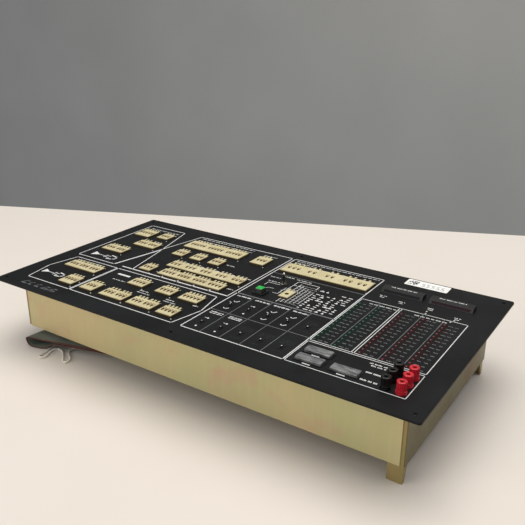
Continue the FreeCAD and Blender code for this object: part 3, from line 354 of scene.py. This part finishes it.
for names, material in (
        (("front_panel",), panel_enamel),
        (("case_front",), front_zinc),
        (("case_left", "case_right", "case_rear", "base_plate"), side_zinc_painted_shade),
        (("corner_leg_front_right", "corner_leg_rear_left", "corner_leg_rear_right",
          "corner_post_front_left", "leg_left_side"), fold_zinc),
        (("fasteners", "spacers", "toggle_body_and_nut", "post_cores_and_nuts"),
         bright_nickel),
        (("contact_springs",), brown_spring),
        (("toggle_lever",), lever_brass),
        (("terminals_left_front", "terminals_left_rear", "terminals_middle_front",
          "terminals_middle_rear", "terminals_right_rear"), cream_nylon),
        (("display_bezels", "display_modules", "slide_switch_bodies", "key_frames",
          "board_connectors", "start_button_housing"), black_abs),
        (("display_windows",), window_acrylic),
        (("post_collars_black",), black_phenolic),
        (("post_collars_red",), red_cap),
        (("key_upper_cap", "key_lower_cap", "key_right_cap"), key_acrylic),
        (("main_board", "interface_board"), board_mask),
        (("green_lamps",), green_lens),
        (("red_lamps",), red_lens),
        (("lead_grommet",), grommet_rubber),
        (("lead_plug",), plug_nylon)):
    for name in names:
        nodes[name].data.materials.clear()
        nodes[name].data.materials.append(material)
for name, node in nodes.items():
    if name.startswith("slider_"):
        node.data.materials.clear()
        node.data.materials.append(black_phenolic)


# ---- building pieces -----------------------------------------------------------------
def piece(name, vertices, faces, materials, body="root", smooth=False):
    mesh = bpy.data.meshes.new(name)
    mesh.from_pydata([tuple(v) for v in vertices], [], faces)
    for material in materials:
        mesh.materials.append(material)
    shape = bmesh.new()
    shape.from_mesh(mesh)
    bmesh.ops.recalc_face_normals(shape, faces=shape.faces)
    shape.to_mesh(mesh)
    shape.free()
    if smooth:
        mesh.shade_smooth()
    made = bpy.data.objects.new(name, mesh)
    bpy.context.scene.collection.objects.link(made)
    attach(made, body)
    return made


def bands(rings, sides, start=0, closed=False):
    """The four-cornered faces between rings of vertices that follow one another in a list."""
    faces = []
    for k in range(rings if closed else rings - 1):
        a, b = start + sides * k, start + sides * ((k + 1) % rings)
        faces += [(a + i, a + (i + 1) % sides, b + (i + 1) % sides, b + i)
                  for i in range(sides)]
    return faces


PANEL_LOW, PANEL_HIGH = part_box("front_panel")


def spot(x, y, height=0.0):
    """A point in from the panel's left and front edges and above its face, given in mm."""
    return Vector((PANEL_LOW.x + x * MM, PANEL_LOW.y + y * MM, PANEL_HIGH.z + height * MM))


INK_LOW, INK_HIGH = 0.01, 0.07


def prisms(name, patches, material, low=INK_LOW, high=INK_HIGH):
    """Flat patches of ink, each a ring of corners, as closed prisms. A patch that lies on
    something other than the panel's face comes as (corners, lift)."""
    vertices, faces = [], []
    for patch in patches:
        corners, lift = patch if isinstance(patch, tuple) else (patch, 0.0)
        start, count = len(vertices), len(corners)
        for height in (low, high):
            vertices += [spot(x, y, height + lift) for x, y in corners]
        faces.append(tuple(range(start, start + count)))
        faces.append(tuple(range(start + count, start + 2 * count)))
        for i in range(count):
            j = (i + 1) % count
            faces.append((start + i, start + j, start + count + j, start + count + i))
    return piece(name, vertices, faces, [material])


def bar(x, y, length, height):
    return [(x, y), (x + length, y), (x + length, y + height), (x, y + height)]


def stroke(points, width):
    """The patches of a line through those points, square at its ends."""
    patches = []
    for a, b in zip(points, points[1:]):
        run = Vector((b[0] - a[0], b[1] - a[1]))
        run = run.normalized() * (width / 2)
        side = Vector((-run.y, run.x))
        a, b = Vector(a) - run, Vector(b) + run
        patches.append([tuple(a + side), tuple(a - side), tuple(b - side), tuple(b + side)])
    return patches


def ring(x, y, radius, count=14, start=0.0, turn=math.tau):
    return [(x + radius * math.cos(start + turn * i / count),
             y + radius * math.sin(start + turn * i / count)) for i in range(count)]


def dashes(x, y, length, height, gap=1.0):
    """A row of short upright marks in groups, as a stand-in for a printed word or two."""
    patches = []
    end = x + length
    while x < end - 1:
        for _ in range(dice.randint(3, 6)):
            wide = dice.uniform(0.9, 1.5)
            tall = height * dice.choice((0.7, 1.0, 1.0))
            if x + wide > end:
                break
            patches.append(bar(x, y, wide, tall))
            x += wide + gap * 0.5
        x += gap * 1.6
    return patches


# ---- terminal mouths -----------------------------------------------------------------
def spring_places():
    """The middle of each contact spring, from the springs' own corners, in metres."""
    groups = []
    for vertex in nodes["contact_springs"].data.vertices:
        place = vertex.co
        for group in groups:
            if abs(group[0].x - place.x) < 2.6 * MM and abs(group[0].y - place.y) < 6 * MM:
                group.append(place)
                break
        else:
            groups.append([place])
    return [Vector(((min(p.x for p in g) + max(p.x for p in g)) / 2,
                    (min(p.y for p in g) + max(p.y for p in g)) / 2)) for g in groups]


# A thin brown ring, squarish in outline, lies round each slot just above the block's face:
# painted shade of the slot's mouth.
BLOCK_TOP = 3.2
SLOT_HALF = (1.3, 3.25)
FLARE_HALF = (2.55, 4.2)
FLARE_POWER = 0.6          # below 1 the flare's outline is squarer than an oval
FLARE_SIDES = 20
FLARE_RINGS = ((*FLARE_HALF, 0.01), (*FLARE_HALF, 0.05), (*SLOT_HALF, 0.04),
               (*SLOT_HALF, 0.01))
flare_vertices, flare_faces = [], []
for place in spring_places():
    flare_faces += bands(len(FLARE_RINGS), FLARE_SIDES, len(flare_vertices), closed=True)
    for half_x, half_y, height in FLARE_RINGS:
        for i in range(FLARE_SIDES):
            a = math.tau * i / FLARE_SIDES
            across = math.copysign(abs(math.cos(a)) ** FLARE_POWER, math.cos(a)) * half_x
            along = math.copysign(abs(math.sin(a)) ** FLARE_POWER, math.sin(a)) * half_y
            flare_vertices.append(Vector((place.x + across * MM, place.y + along * MM,
                                          PANEL_HIGH.z + (BLOCK_TOP + height) * MM)))
piece("slot_shade_rings", flare_vertices, flare_faces, [painted_slot_shade])

# ---- printed zones -------------------------------------------------------------------
zone = []
for outline in (
        [(26.6, 333.2), (107.4, 333.2), (131.3, 241), (112, 147.3), (26.6, 147.3),
         (26.6, 333.2)],
        [(110.6, 147.3), (147.5, 333.2), (342.6, 333.2), (342.6, 147.3)],
        [(131.3, 241), (152.1, 147.3)],
        [(348.2, 34.3), (509.6, 34.3), (509.6, 333.2), (348.2, 333.2), (348.2, 34.3)],
        [(36.8, 136.7), (129, 136.7), (129, 34.3), (36.8, 34.3), (26.6, 85), (36.8, 136.7)],
        [(131.3, 136.7), (332, 136.7), (342.6, 86), (332, 34.3), (131.3, 34.3),
         (131.3, 136.7)]):
    zone += stroke(outline, 1.5)
for outline in (
        [(512, 250.2), (668.3, 250.2), (668.3, 96.6), (512, 96.6), (512, 250.2)],
        [(512, 92.6), (668.3, 92.6), (668.3, 34.3), (512, 34.3), (512, 92.6)],
        [(571, 96.6), (571, 250.2)], [(574.6, 96.6), (574.6, 250.2)]):
    zone += stroke(outline, 1.1)
zone += stroke([(131.3, 147.3), (342.6, 147.3)], 2.6)
for x in (213.4, 245.3, 276.6, 307.6):
    zone += stroke([(x, 147.3), (x, 151.4)], 2.4)
prisms("zone_lines", zone, white_ink)

dividers = []
for outline in ([(348.2, 264), (509.6, 264)], [(348.2, 100.3), (509.6, 100.3)]):
    dividers += stroke(outline, 1.1)
dividers += stroke([(348.2, 165.8), (509.6, 165.8)], 2.4)
for x in (380, 411.8, 444.1, 475.9):
    dividers += stroke([(x, 34.3), (x, 165.8)], 0.9)
for x in (541, 606, 636.9):
    dividers += stroke([(x, 96.6), (x, 250.2)], 0.9)
prisms("divider_lines", dividers, grey_ink)

# ---- printed words and symbols -------------------------------------------------------
marks = []
for x, y, length in (
        (38, 319, 66), (38, 309, 30), (84, 309, 22), (72, 260, 46), (42, 213, 44),
        (154, 326, 116), (154, 316, 116), (160, 309, 108), (296, 318, 26), (296, 309, 24),
        (162, 258.5, 20), (200, 258.5, 20), (239, 258.5, 20), (268, 246, 16),
        (162, 179, 18), (193, 213.5, 134), (192, 160, 5), (326, 168, 12),
        (50, 122, 66), (52, 128, 50), (95, 75, 26), (117, 60, 8),
        (142, 75, 24), (190, 123, 28), (246, 123, 28), (291, 123, 32),
        (184, 71, 42), (239, 71, 42), (295, 71, 27), (155, 100, 26), (222, 84, 24),
        (222, 90, 18), (276, 81, 22), (276, 87, 16), (322, 92, 10),
        (356, 326, 148), (356, 312, 148), (356, 319, 40), (370, 258, 22), (396, 257, 26),
        (404, 214, 24), (404, 218, 18)):
    marks += dashes(x, y, length, 2.2)
for x in (352, 384, 416, 448):
    marks += dashes(x + 2, 156.5, 25, 3.4, 0.7)
for x in (352, 384):
    marks += dashes(x + 3, 92.6, 22, 2.6, 0.7) + dashes(x + 3, 88.4, 22, 2.6, 0.7)
# Terminals: a dot by each block's front right corner.
for x, y in ((71, 270.5), (109, 279), (121, 229.5), (90, 183.5), (273, 271), (323, 271),
             (186, 229.5), (224.5, 229.5), (263, 229.5), (337, 184), (186, 149.6),
             (120, 93.4), (124, 42), (168.5, 42), (222, 94.4), (277, 94.4), (327, 94.4),
             (230, 41.5), (285, 41.5), (325, 42), (508, 271)):
    marks.append(ring(x, y, 1.0))
# Long white bars behind the five-group block, one for each group.
for i in range(5):
    marks.append(bar(193 + 30.7 * i, 215.6, 21, 1.9))
# Amplifier triangles with a plug symbol.
for x, y, size in ((44, 158, 15), (38, 58, 13)):
    marks.append([(x, y), (x + size, y + size * 0.5), (x, y + size)])
    marks += stroke([(x + size, y + size * 0.5), (x + size * 1.9, y + size * 0.5)], 1.4)
    marks += stroke([(x + size * 2.5, y), (x + size * 3.2, y + size * 0.12),
                     (x + size * 3.5, y + size * 0.5), (x + size * 3.2, y + size * 0.88),
                     (x + size * 2.5, y + size)], 2.6)
    marks += stroke([(x + size * 1.9, y + size * 0.2), (x + size * 1.9, y + size * 0.8)], 2.0)
    marks += stroke([(x + size * 1.9, y + size * 0.3), (x + size * 2.5, y + size * 0.3)], 1.4)
    marks += stroke([(x + size * 1.9, y + size * 0.7), (x + size * 2.5, y + size * 0.7)], 1.4)
marks.append(bar(147.5, 118, 25.5, 4.6))
# Start switch: its circuit drawn round it.
marks += stroke([(360, 203), (372, 203), (376, 209), (384, 209)], 0.9)
marks += stroke([(391, 196), (399, 196), (399, 222)], 0.9)
marks += stroke([(364, 215), (364, 226), (384, 226)], 0.9)
marks += dashes(360, 231, 22, 2.2) + dashes(354, 247, 20, 2.2) + dashes(404, 236, 16, 2.2)
# Patch matrix: lines that run to the rear from the single socket, and white patches that
# crowd together to their right, in rows.
for i in range(6):
    marks += stroke([(412 + 6.2 * i, 172 + 2 * i), (412 + 6.2 * i, 246 - 4 * i)], 0.9)
marks += stroke([(403, 232), (403, 252), (440, 252), (440, 240)], 1.1)
marks += stroke([(401, 203), (397, 210), (403, 216), (403, 232)], 1.1)
for row in range(11):
    marks += stroke([(411, 176 + 6.6 * row), (444, 176 + 6.6 * row)], 0.4)
    for column in range(6):
        if dice.random() < 0.78:
            x, y = 447 + column * 9.6 + dice.uniform(-1.5, 1.5), 171 + row * 6.8
            length = dice.uniform(3.5, 7.5)
            marks.append(bar(x, y, length, 1.9))
            if dice.random() < 0.5:
                marks.append(bar(x + length * 0.3, y + 1.9, length * 0.5, 2.0))
# Slide switches: ticks in front of and behind some, dots at others, and faint words round
# the rest.
SLIDE_FRONT_Y, SLIDE_REAR_Y = 59.5, 124.5
SLIDE_COLUMNS = [365.2 + 31.9 * i for i in range(5)]
TICKED, DOTTED_REAR, DOTTED_FRONT = (0, 2, 3), (1,), (0, 1)
for y, ticked, dotted in ((SLIDE_FRONT_Y, (), DOTTED_FRONT),
                          (SLIDE_REAR_Y, TICKED, DOTTED_REAR)):
    for i, x in enumerate(SLIDE_COLUMNS):
        if i in ticked:
            marks += stroke([(x - 3, y + 14), (x, y + 11.6), (x + 4, y + 17)], 1.5)
            marks += stroke([(x - 7, y + 9), (x - 4, y + 7.5)], 1.2)
            marks += stroke([(x - 3, y - 12), (x, y - 14.4), (x + 4, y - 10)], 1.5)
        elif i in dotted:
            marks.append(ring(x, y + 13.4, 1.6))
            marks.append(ring(x, y - 13.4, 1.6))
            marks += stroke([(x - 5, y + 13.4), (x - 3, y + 13.4)], 1.0)
# Lamp zone: headings, then two short words beside every lamp.
marks += dashes(528, 240, 50, 2.6) + dashes(596, 240, 46, 2.6)
# Posts and keys.
marks += dashes(602, 84, 26, 2.6) + dashes(606, 79, 20, 2.6) + dashes(607, 62, 20, 3.0)
marks += dashes(608, 44, 22, 3.0)
for x, y in ((534, 62), (534, 38.5), (580, 39.5)):
    marks.append(bar(x, y, 11, 1.8))
# Below the displays.
for x, y in ((533, 276), (565, 270), (608, 272), (650, 262)):
    marks += dashes(x - 5, y, 11, 2.2) + dashes(x - 3, y - 5, 7, 2.2)
for x, y in ((606, 261), (607, 254), (648, 254), (645, 247)):
    marks.append(ring(x, y, 1.3))
# Display hoods: a word on top of each.
HOOD_HEIGHT = 6.5
for middle in (556, 630):
    marks += [(patch, HOOD_HEIGHT) for patch in dashes(middle - 20, 299.5, 40, 2.6)]
prisms("white_legends", marks, white_ink)

# A tinted strip runs down each lamp column: sea green on two, wine red on three.
GREEN_COLUMNS, RED_COLUMNS = (515.7, 545.7), (579.8, 610.7, 641.6)
LAMP_ROWS, LAMP_PITCH, FIRST_LAMP_Y = 14, 10.16, 100.6
for name, columns_at, hues in (
        ("green_strips", GREEN_COLUMNS, ("#07120f", "#0a1a16")),
        ("red_strips", RED_COLUMNS, ("#130a0b", "#1a0c0e"))):
    tint = moulded(name + "_screen_ink", *hues, 0.55, 14, 0.5, 0.005,
                   Specular_IOR_Level=0.16)
    prisms(name, [bar(x - 2.6, 97.6, 13, 139) for x in columns_at], tint,
           high=0.04)

small = []
for column in GREEN_COLUMNS + RED_COLUMNS:
    for row in range(LAMP_ROWS):
        y = FIRST_LAMP_Y + LAMP_PITCH * row
        small += dashes(column + 5.5, y, 7, 1.9) + dashes(column + 14.5, y, 6, 1.9)
prisms("lamp_legends", small, grey_ink)

dim = []
for y, cells in ((SLIDE_FRONT_Y, (2, 3, 4)), (SLIDE_REAR_Y, (4,))):
    for x in [SLIDE_COLUMNS[i] for i in cells]:
        for step in range(3):
            dim += dashes(x - 10, y + 9 + 4 * step, 21, 2.6)
        dim += dashes(x - 9, y - 14, 19, 2.4)
prisms("worn_legends", dim, dim_ink)

# A small pale dot on the crown of every slide knob, a painted highlight; it is larger on the
# knobs among the dim grey words.
HIGHLIGHT_SIDES = 16
HIGHLIGHT_R, LARGE_HIGHLIGHT_R = 0.65, 0.9
for row in (1, 2):
    for column in range(1, 6):
        knob = "slider_%d_%d" % (row, column)
        knob_low, knob_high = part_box(knob)
        crown_x, crown_y = (knob_low.x + knob_high.x) / 2, (knob_low.y + knob_high.y) / 2
        large = (row, column) in ((1, 3), (1, 4), (1, 5), (2, 5))
        radius = LARGE_HIGHLIGHT_R if large else HIGHLIGHT_R
        highlight_vertices = []
        for height in (0.01, 0.06):
            for i in range(HIGHLIGHT_SIDES):
                a = math.tau * i / HIGHLIGHT_SIDES
                highlight_vertices.append(Vector((crown_x + radius * math.cos(a) * MM,
                                            crown_y + radius * math.sin(a) * MM,
                                            knob_high.z + height * MM)))
        highlight_faces = [tuple(range(HIGHLIGHT_SIDES)), tuple(range(HIGHLIGHT_SIDES, 2 * HIGHLIGHT_SIDES))]
        highlight_faces += bands(2, HIGHLIGHT_SIDES)
        piece("painted_highlight_" + knob, highlight_vertices, highlight_faces, [white_ink], knob)

silver = []
for i, width in enumerate((9, 5, 7, 11, 12)):
    x = 48 + 14.6 * i
    silver += stroke([(x, 13), (x + width * 0.5, 21.5), (x + width, 21.5)], 2.2)
    silver += stroke([(x + 3, 13), (x + width, 13.2)], 2.2)
silver.append(bar(98, 13, 22, 3.6))
prisms("silver_marks", silver, silver_ink)

# ---- label ---------------------------------------------------------------------------
LABEL_X, LABEL_Y, LABEL_LENGTH, LABEL_DEPTH = 540.0, 337.5, 67.5, 23.5
LABEL_CORNER = 2.0
LABEL_TOP = 0.12
left, right = LABEL_X + LABEL_CORNER, LABEL_X + LABEL_LENGTH - LABEL_CORNER
near, far = LABEL_Y + LABEL_CORNER, LABEL_Y + LABEL_DEPTH - LABEL_CORNER
corners = []
for quarter, (x, y) in enumerate(((right, far), (left, far), (left, near), (right, near))):
    # Five points round a quarter turn: four steps of the five that the ring is given.
    corners += ring(x, y, LABEL_CORNER, 5, quarter * math.pi / 2, math.pi / 2 * 5 / 4)
prisms("asset_label", [corners], label_vinyl, high=LABEL_TOP)
CODE_CELLS, CODE_PITCH, CODE_CELL = 9, 1.7, 1.6
printed = []
for row in range(CODE_CELLS):
    for column in range(CODE_CELLS):
        if dice.random() < 0.55:
            printed.append(bar(LABEL_X + 4 + column * CODE_PITCH,
                               LABEL_Y + 4 + row * CODE_PITCH, CODE_CELL, CODE_CELL))
for i in range(5):
    x = LABEL_X + 26 + i * 7.6
    printed += stroke([(x, LABEL_Y + 5), (x + 3.8, LABEL_Y + 5), (x + 3.8, LABEL_Y + 10),
                       (x + 0.4, LABEL_Y + 10), (x + 0.4, LABEL_Y + 15),
                       (x + 4, LABEL_Y + 15)], 0.7)
prisms("label_marks", [(patch, LABEL_TOP - INK_LOW) for patch in printed], label_ink)


# ---- cords ---------------------------------------------------------------------------
def flow(name, points):
    """The line that a cord follows: a NURBS spline through the pull of its route's points."""
    curve = bpy.data.curves.new(name, "CURVE")
    curve.dimensions = "3D"
    curve.resolution_u = 10
    spline = curve.splines.new("NURBS")
    spline.points.add(len(points) - 1)
    for control, point in zip(spline.points, points):
        control.co = (*point, 1.0)
    spline.order_u = 3
    spline.use_endpoint_u = True
    line = bpy.data.objects.new(name, curve)
    mesh = bpy.data.meshes.new_from_object(line)
    path = [v.co.copy() for v in mesh.vertices]
    bpy.data.meshes.remove(mesh)
    bpy.data.objects.remove(line)
    bpy.data.curves.remove(curve)
    return path


def headings(path):
    ahead = path[1:] + [path[-1] * 2 - path[-2]]
    behind = [path[0] * 2 - path[1]] + path[:-1]
    return [(b - a).normalized() for a, b in zip(behind, ahead)]


# Ribbon: along its near edge from the tip of its fold, and above the bench.
RIBBON_WIDTH = 43.2
RIBBON_SKEW = 15.6
RIBBON_YAW = math.radians(14.5)
RIBBON_LEFT_IN, RIBBON_FRONT_IN = 42.0, 10.0
RIBBON_ROUTE = (
    (146.0, 29.0), (146.0, 18.0), (140.5, 15.7), (129.0, 15.5), (108.0, 16.0), (75.0, 16.5),
    (42.0, 16.2), (20.0, 16.5), (9.5, 16.8), (0.6, 16.9), (0.9, 11.5), (2.6, 5.9), (8.0, 1.7),
    (17.0, 0.7), (27.5, 0.8), (36.5, 3.9), (44.0, 8.6), (53.0, 12.4), (66.0, 13.2),
    (90.0, 12.9), (112.0, 13.2), (135.0, 12.9), (151.0, 12.8), (159.0, 13.8), (164.0, 19.0),
    (164.0, 29.0))
WIRES = 34
WIRE_STEPS = 4
RIBBON_HALF_THICK, RIBBON_VALLEY = 0.6, 0.32


def ribbon_point(s, across, z):
    """A point on the ribbon in metres, from its own along, across and up in mm."""
    x = s + RIBBON_SKEW * across / RIBBON_WIDTH
    turned = Matrix.Rotation(RIBBON_YAW, 2) @ Vector((x, across))
    return Vector((PANEL_LOW.x + (RIBBON_LEFT_IN + turned.x) * MM,
                   PANEL_LOW.y + (RIBBON_FRONT_IN + turned.y) * MM, z * MM))


edge_line = flow("ribbon_line", [(s * MM, 0, z * MM) for s, z in RIBBON_ROUTE])
edge_heading = headings(edge_line)
ribbon_vertices, ribbon_faces = [], []
columns = WIRES * WIRE_STEPS + 1
for point, ahead in zip(edge_line, edge_heading):
    side = Vector((-ahead.z, 0, ahead.x))
    for sign in (1, -1):
        for i in range(columns):
            crest = abs(math.sin(math.pi * i / WIRE_STEPS))
            half = RIBBON_VALLEY + (RIBBON_HALF_THICK - RIBBON_VALLEY) * crest
            place = point / MM + side * (half * sign)
            ribbon_vertices.append(ribbon_point(place.x, RIBBON_WIDTH * i / (columns - 1),
                                                place.z))
stations = len(edge_line)
loop = list(range(columns)) + [columns + i for i in reversed(range(columns))]
for k in range(stations - 1):
    here, after = k * 2 * columns, (k + 1) * 2 * columns
    for a, b in zip(loop, loop[1:] + loop[:1]):
        ribbon_faces.append((here + a, here + b, after + b, after + a))
ribbon_faces.append(tuple(loop))
ribbon_faces.append(tuple((stations - 1) * 2 * columns + i for i in loop))
ribbon = piece("flat_ribbon", ribbon_vertices, ribbon_faces, [ribbon_vinyl, stripe_vinyl],
               smooth=True)
for face in ribbon.data.polygons:
    columns_of = [i % columns for i in face.vertices]
    if len(columns_of) == 4 and max(columns_of) <= 1.5 * WIRE_STEPS:
        face.material_index = 1
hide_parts("ribbon_cable")

# White lead: from the panel's left and front edges, and above the bench.
LEAD_ROUTE = (
    (152.0, 112.0, 29.0), (152.0, 112.0, 18.5), (150.0, 109.0, 9.3), (143.5, 102.0, 3.4),
    (133.0, 92.5, 1.75), (121.0, 81.0, 1.75), (110.5, 68.5, 1.75), (99.0, 56.5, 1.75),
    (88.0, 46.0, 1.75), (80.7, 35.0, 1.75), (81.2, 24.5, 1.75), (84.5, 14.5, 1.75),
    (86.0, 5.0, 1.75), (87.2, -1.6, 1.75), (92.5, -4.6, 1.75), (97.2, -0.6, 1.75),
    (95.8, 6.2, 1.75), (91.5, 15.0, 1.75), (88.8, 23.5, 1.75), (92.5, 30.3, 1.75),
    (101.8, 30.4, 1.75), (111.5, 25.0, 1.75), (121.0, 16.6, 1.75), (129.0, 9.0, 1.75),
    (135.8, 6.8, 1.75), (139.0, 12.2, 1.75), (134.5, 19.3, 1.75), (125.0, 25.2, 1.75),
    (115.5, 31.5, 1.75), (112.0, 41.5, 1.75), (117.5, 52.5, 1.75))
STRAND_R = 1.0
STRAND_OFFSET = 0.75
TWIST_PITCH = 16.0
STRAND_SIDES = 12

lead_line = flow("lead_line", [(PANEL_LOW.x + x * MM, PANEL_LOW.y + y * MM, z * MM)
                               for x, y, z in LEAD_ROUTE])
lead_heading = headings(lead_line)
lead_vertices, lead_faces = [], []
for strand in (0, 1):
    normal = Vector((1, 0, 0))
    run = 0.0
    first = len(lead_vertices)
    for k, (point, ahead) in enumerate(zip(lead_line, lead_heading)):
        normal = (normal - ahead * normal.dot(ahead)).normalized()
        if k:
            run += (point - lead_line[k - 1]).length / MM
        other = ahead.cross(normal)
        angle = math.tau * run / TWIST_PITCH + strand * math.pi
        centre = point + (normal * math.cos(angle) + other * math.sin(angle)) * (
            STRAND_OFFSET * MM)
        for i in range(STRAND_SIDES):
            a = math.tau * i / STRAND_SIDES
            lead_vertices.append(centre + (normal * math.cos(a) + other * math.sin(a)) * (
                STRAND_R * MM))
    lead_faces += bands(len(lead_line), STRAND_SIDES, first)
    lead_faces.append(tuple(first + i for i in range(STRAND_SIDES)))
    last = first + (len(lead_line) - 1) * STRAND_SIDES
    lead_faces.append(tuple(last + i for i in range(STRAND_SIDES)))
lead = piece("twisted_lead", lead_vertices, lead_faces, [lead_vinyl],
             smooth=True)
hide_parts("white_lead")


# ---- binding post caps ---------------------------------------------------------------
CAP_SIDES, STEPS_PER_FLUTE = 96, 6
FLUTE_DEPTH, FLUTE_BOTTOM, FLUTE_TOP = 0.45, 4.2, 12.8
BORE_LIMIT = 5.0           # anything nearer the axis is the bore, which isn't fluted


def fluted_cap(name, centre, profile, material, body):
    """A closed profile of (radius, height) in mm, turned about an upright axis, with its
    outside scalloped over the height of the flutes."""
    vertices, faces = [], []
    count, sides = len(profile), CAP_SIDES
    for i in range(sides):
        a = math.tau * i / sides
        dip = FLUTE_DEPTH * (0.5 - 0.5 * math.cos(a * sides / STEPS_PER_FLUTE))
        for radius, height in profile:
            if FLUTE_BOTTOM < height < FLUTE_TOP and radius > BORE_LIMIT:
                radius -= dip
            vertices.append(centre + Vector((math.cos(a) * radius, math.sin(a) * radius,
                                             height)) * MM)
    for i in range(sides):
        j = (i + 1) % sides
        for k in range(count):
            m = (k + 1) % count
            faces.append((i * count + k, j * count + k, j * count + m, i * count + m))
    return piece(name, vertices, faces, [material], body)


CAP_PROFILE = ((3.06, 2.5), (5.5, 2.5), (6.0, 3.0), (6.0, 4.0), (6.0, 4.4), (6.0, 8.0),
               (6.0, 12.6), (6.0, 13.0), (6.0, 14.9), (5.8, 15.3), (5.3, 15.5), (2.9, 15.5),
               (2.4, 15.1), (2.4, 11.9), (3.06, 11.9))
for colour, x, material, slot in (("red", 659.5, red_cap, "red_plastic"),
                                  ("black", 640.5, black_phenolic, "black_plastic")):
    for i, y in enumerate((43.5, 61.8, 80.1)):
        node = "post_cap_%s_%d" % (colour, i + 1)
        low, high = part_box(node)
        centre = Vector(((low.x + high.x) / 2, (low.y + high.y) / 2, PANEL_HIGH.z))
        cap = fluted_cap("fluted_" + node, centre, CAP_PROFILE, material, node)
        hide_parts(node)

# ---- start button --------------------------------------------------------------------
# A square cap that narrows upwards to a dished face. Each ring is half a side and a height.
BUTTON_RINGS = ((7.0, -4.0), (7.0, 2.4), (6.9, 3.0), (6.0, 8.1), (5.7, 8.7), (5.1, 9.0),
                (4.6, 8.9), (3.2, 8.3), (1.6, 8.1))
button_low, button_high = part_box("start_button_cap")
button_middle = (button_low + button_high) / 2
button_vertices, button_faces = [], []
BUTTON_SIDES = 32
SQUARENESS = 8             # 2 would be round
for half, height in BUTTON_RINGS:
    for i in range(BUTTON_SIDES):
        a = math.tau * (i + 0.5) / BUTTON_SIDES
        square = half / (abs(math.cos(a)) ** SQUARENESS
                         + abs(math.sin(a)) ** SQUARENESS) ** (1 / SQUARENESS)
        button_vertices.append(Vector((button_middle.x + square * math.cos(a) * MM,
                                       button_middle.y + square * math.sin(a) * MM,
                                       PANEL_HIGH.z + height * MM)))
button_faces += bands(len(BUTTON_RINGS), BUTTON_SIDES)
button_faces.append(tuple(range(BUTTON_SIDES)))
last = (len(BUTTON_RINGS) - 1) * BUTTON_SIDES
button_faces.append(tuple(last + i for i in range(BUTTON_SIDES)))
button = piece("dished_button", button_vertices, button_faces, [green_cap],
               "start_button")
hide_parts("start_button_cap")

# ---- floor and light -----------------------------------------------------------------
# Laminate bench top: warm near-white, faintly mottled, with a slight sheen.
bench = moulded("white_laminate_bench", "#e9e2da", "#e5ddd4", 0.6, 400, 3, 0.02)
# Painted wall: pale cool grey.
wall_paint = moulded("grey_painted_wall", "#aeaeab", "#a9a9a6", 0.9, 900, 4, 0.02)
for name, corners, material in (
        ("bench_top", [(-6, -7, 0), (6, -7, 0), (6, 3.38, 0), (-6, -1.88, 0)], bench),
        ("back_wall", [(-9, 3.5, -3), (9, 3.5, -3), (9, 3.5, 6), (-9, 3.5, 6)], wall_paint)):
    mesh = bpy.data.meshes.new(name)
    mesh.from_pydata(corners, [], [(0, 1, 2, 3)])
    mesh.materials.append(material)
    plain = bpy.data.objects.new(name, mesh)
    bpy.context.scene.collection.objects.link(plain)

world = bpy.data.worlds.new("studio")
world.use_nodes = True
world.node_tree.nodes["Background"].inputs["Color"].default_value = linear("#dfe3e8")
world.node_tree.nodes["Background"].inputs["Strength"].default_value = 0.45
bpy.context.scene.world = world

for name, place, aim, size, watts, tint in (
        ("ceiling_light", (0.2, 0.3, 3.2), (0, 0, 0), 3.2, 100, "#fffaf4"),
        ("room_light", (-2.4, -3.8, 1.7), (0, 0, 0.05), 3.0, 64, "#fff6ea")):
    lamp = bpy.data.lights.new(name, "AREA")
    lamp.size = size
    lamp.energy = watts
    lamp.color = linear(tint)[:3]
    light = bpy.data.objects.new(name, lamp)
    light.location = place
    light.rotation_euler = (Vector(aim) - Vector(place)).to_track_quat("-Z", "Y").to_euler()
    bpy.context.scene.collection.objects.link(light)
bpy.context.scene.view_settings.view_transform = "Standard"
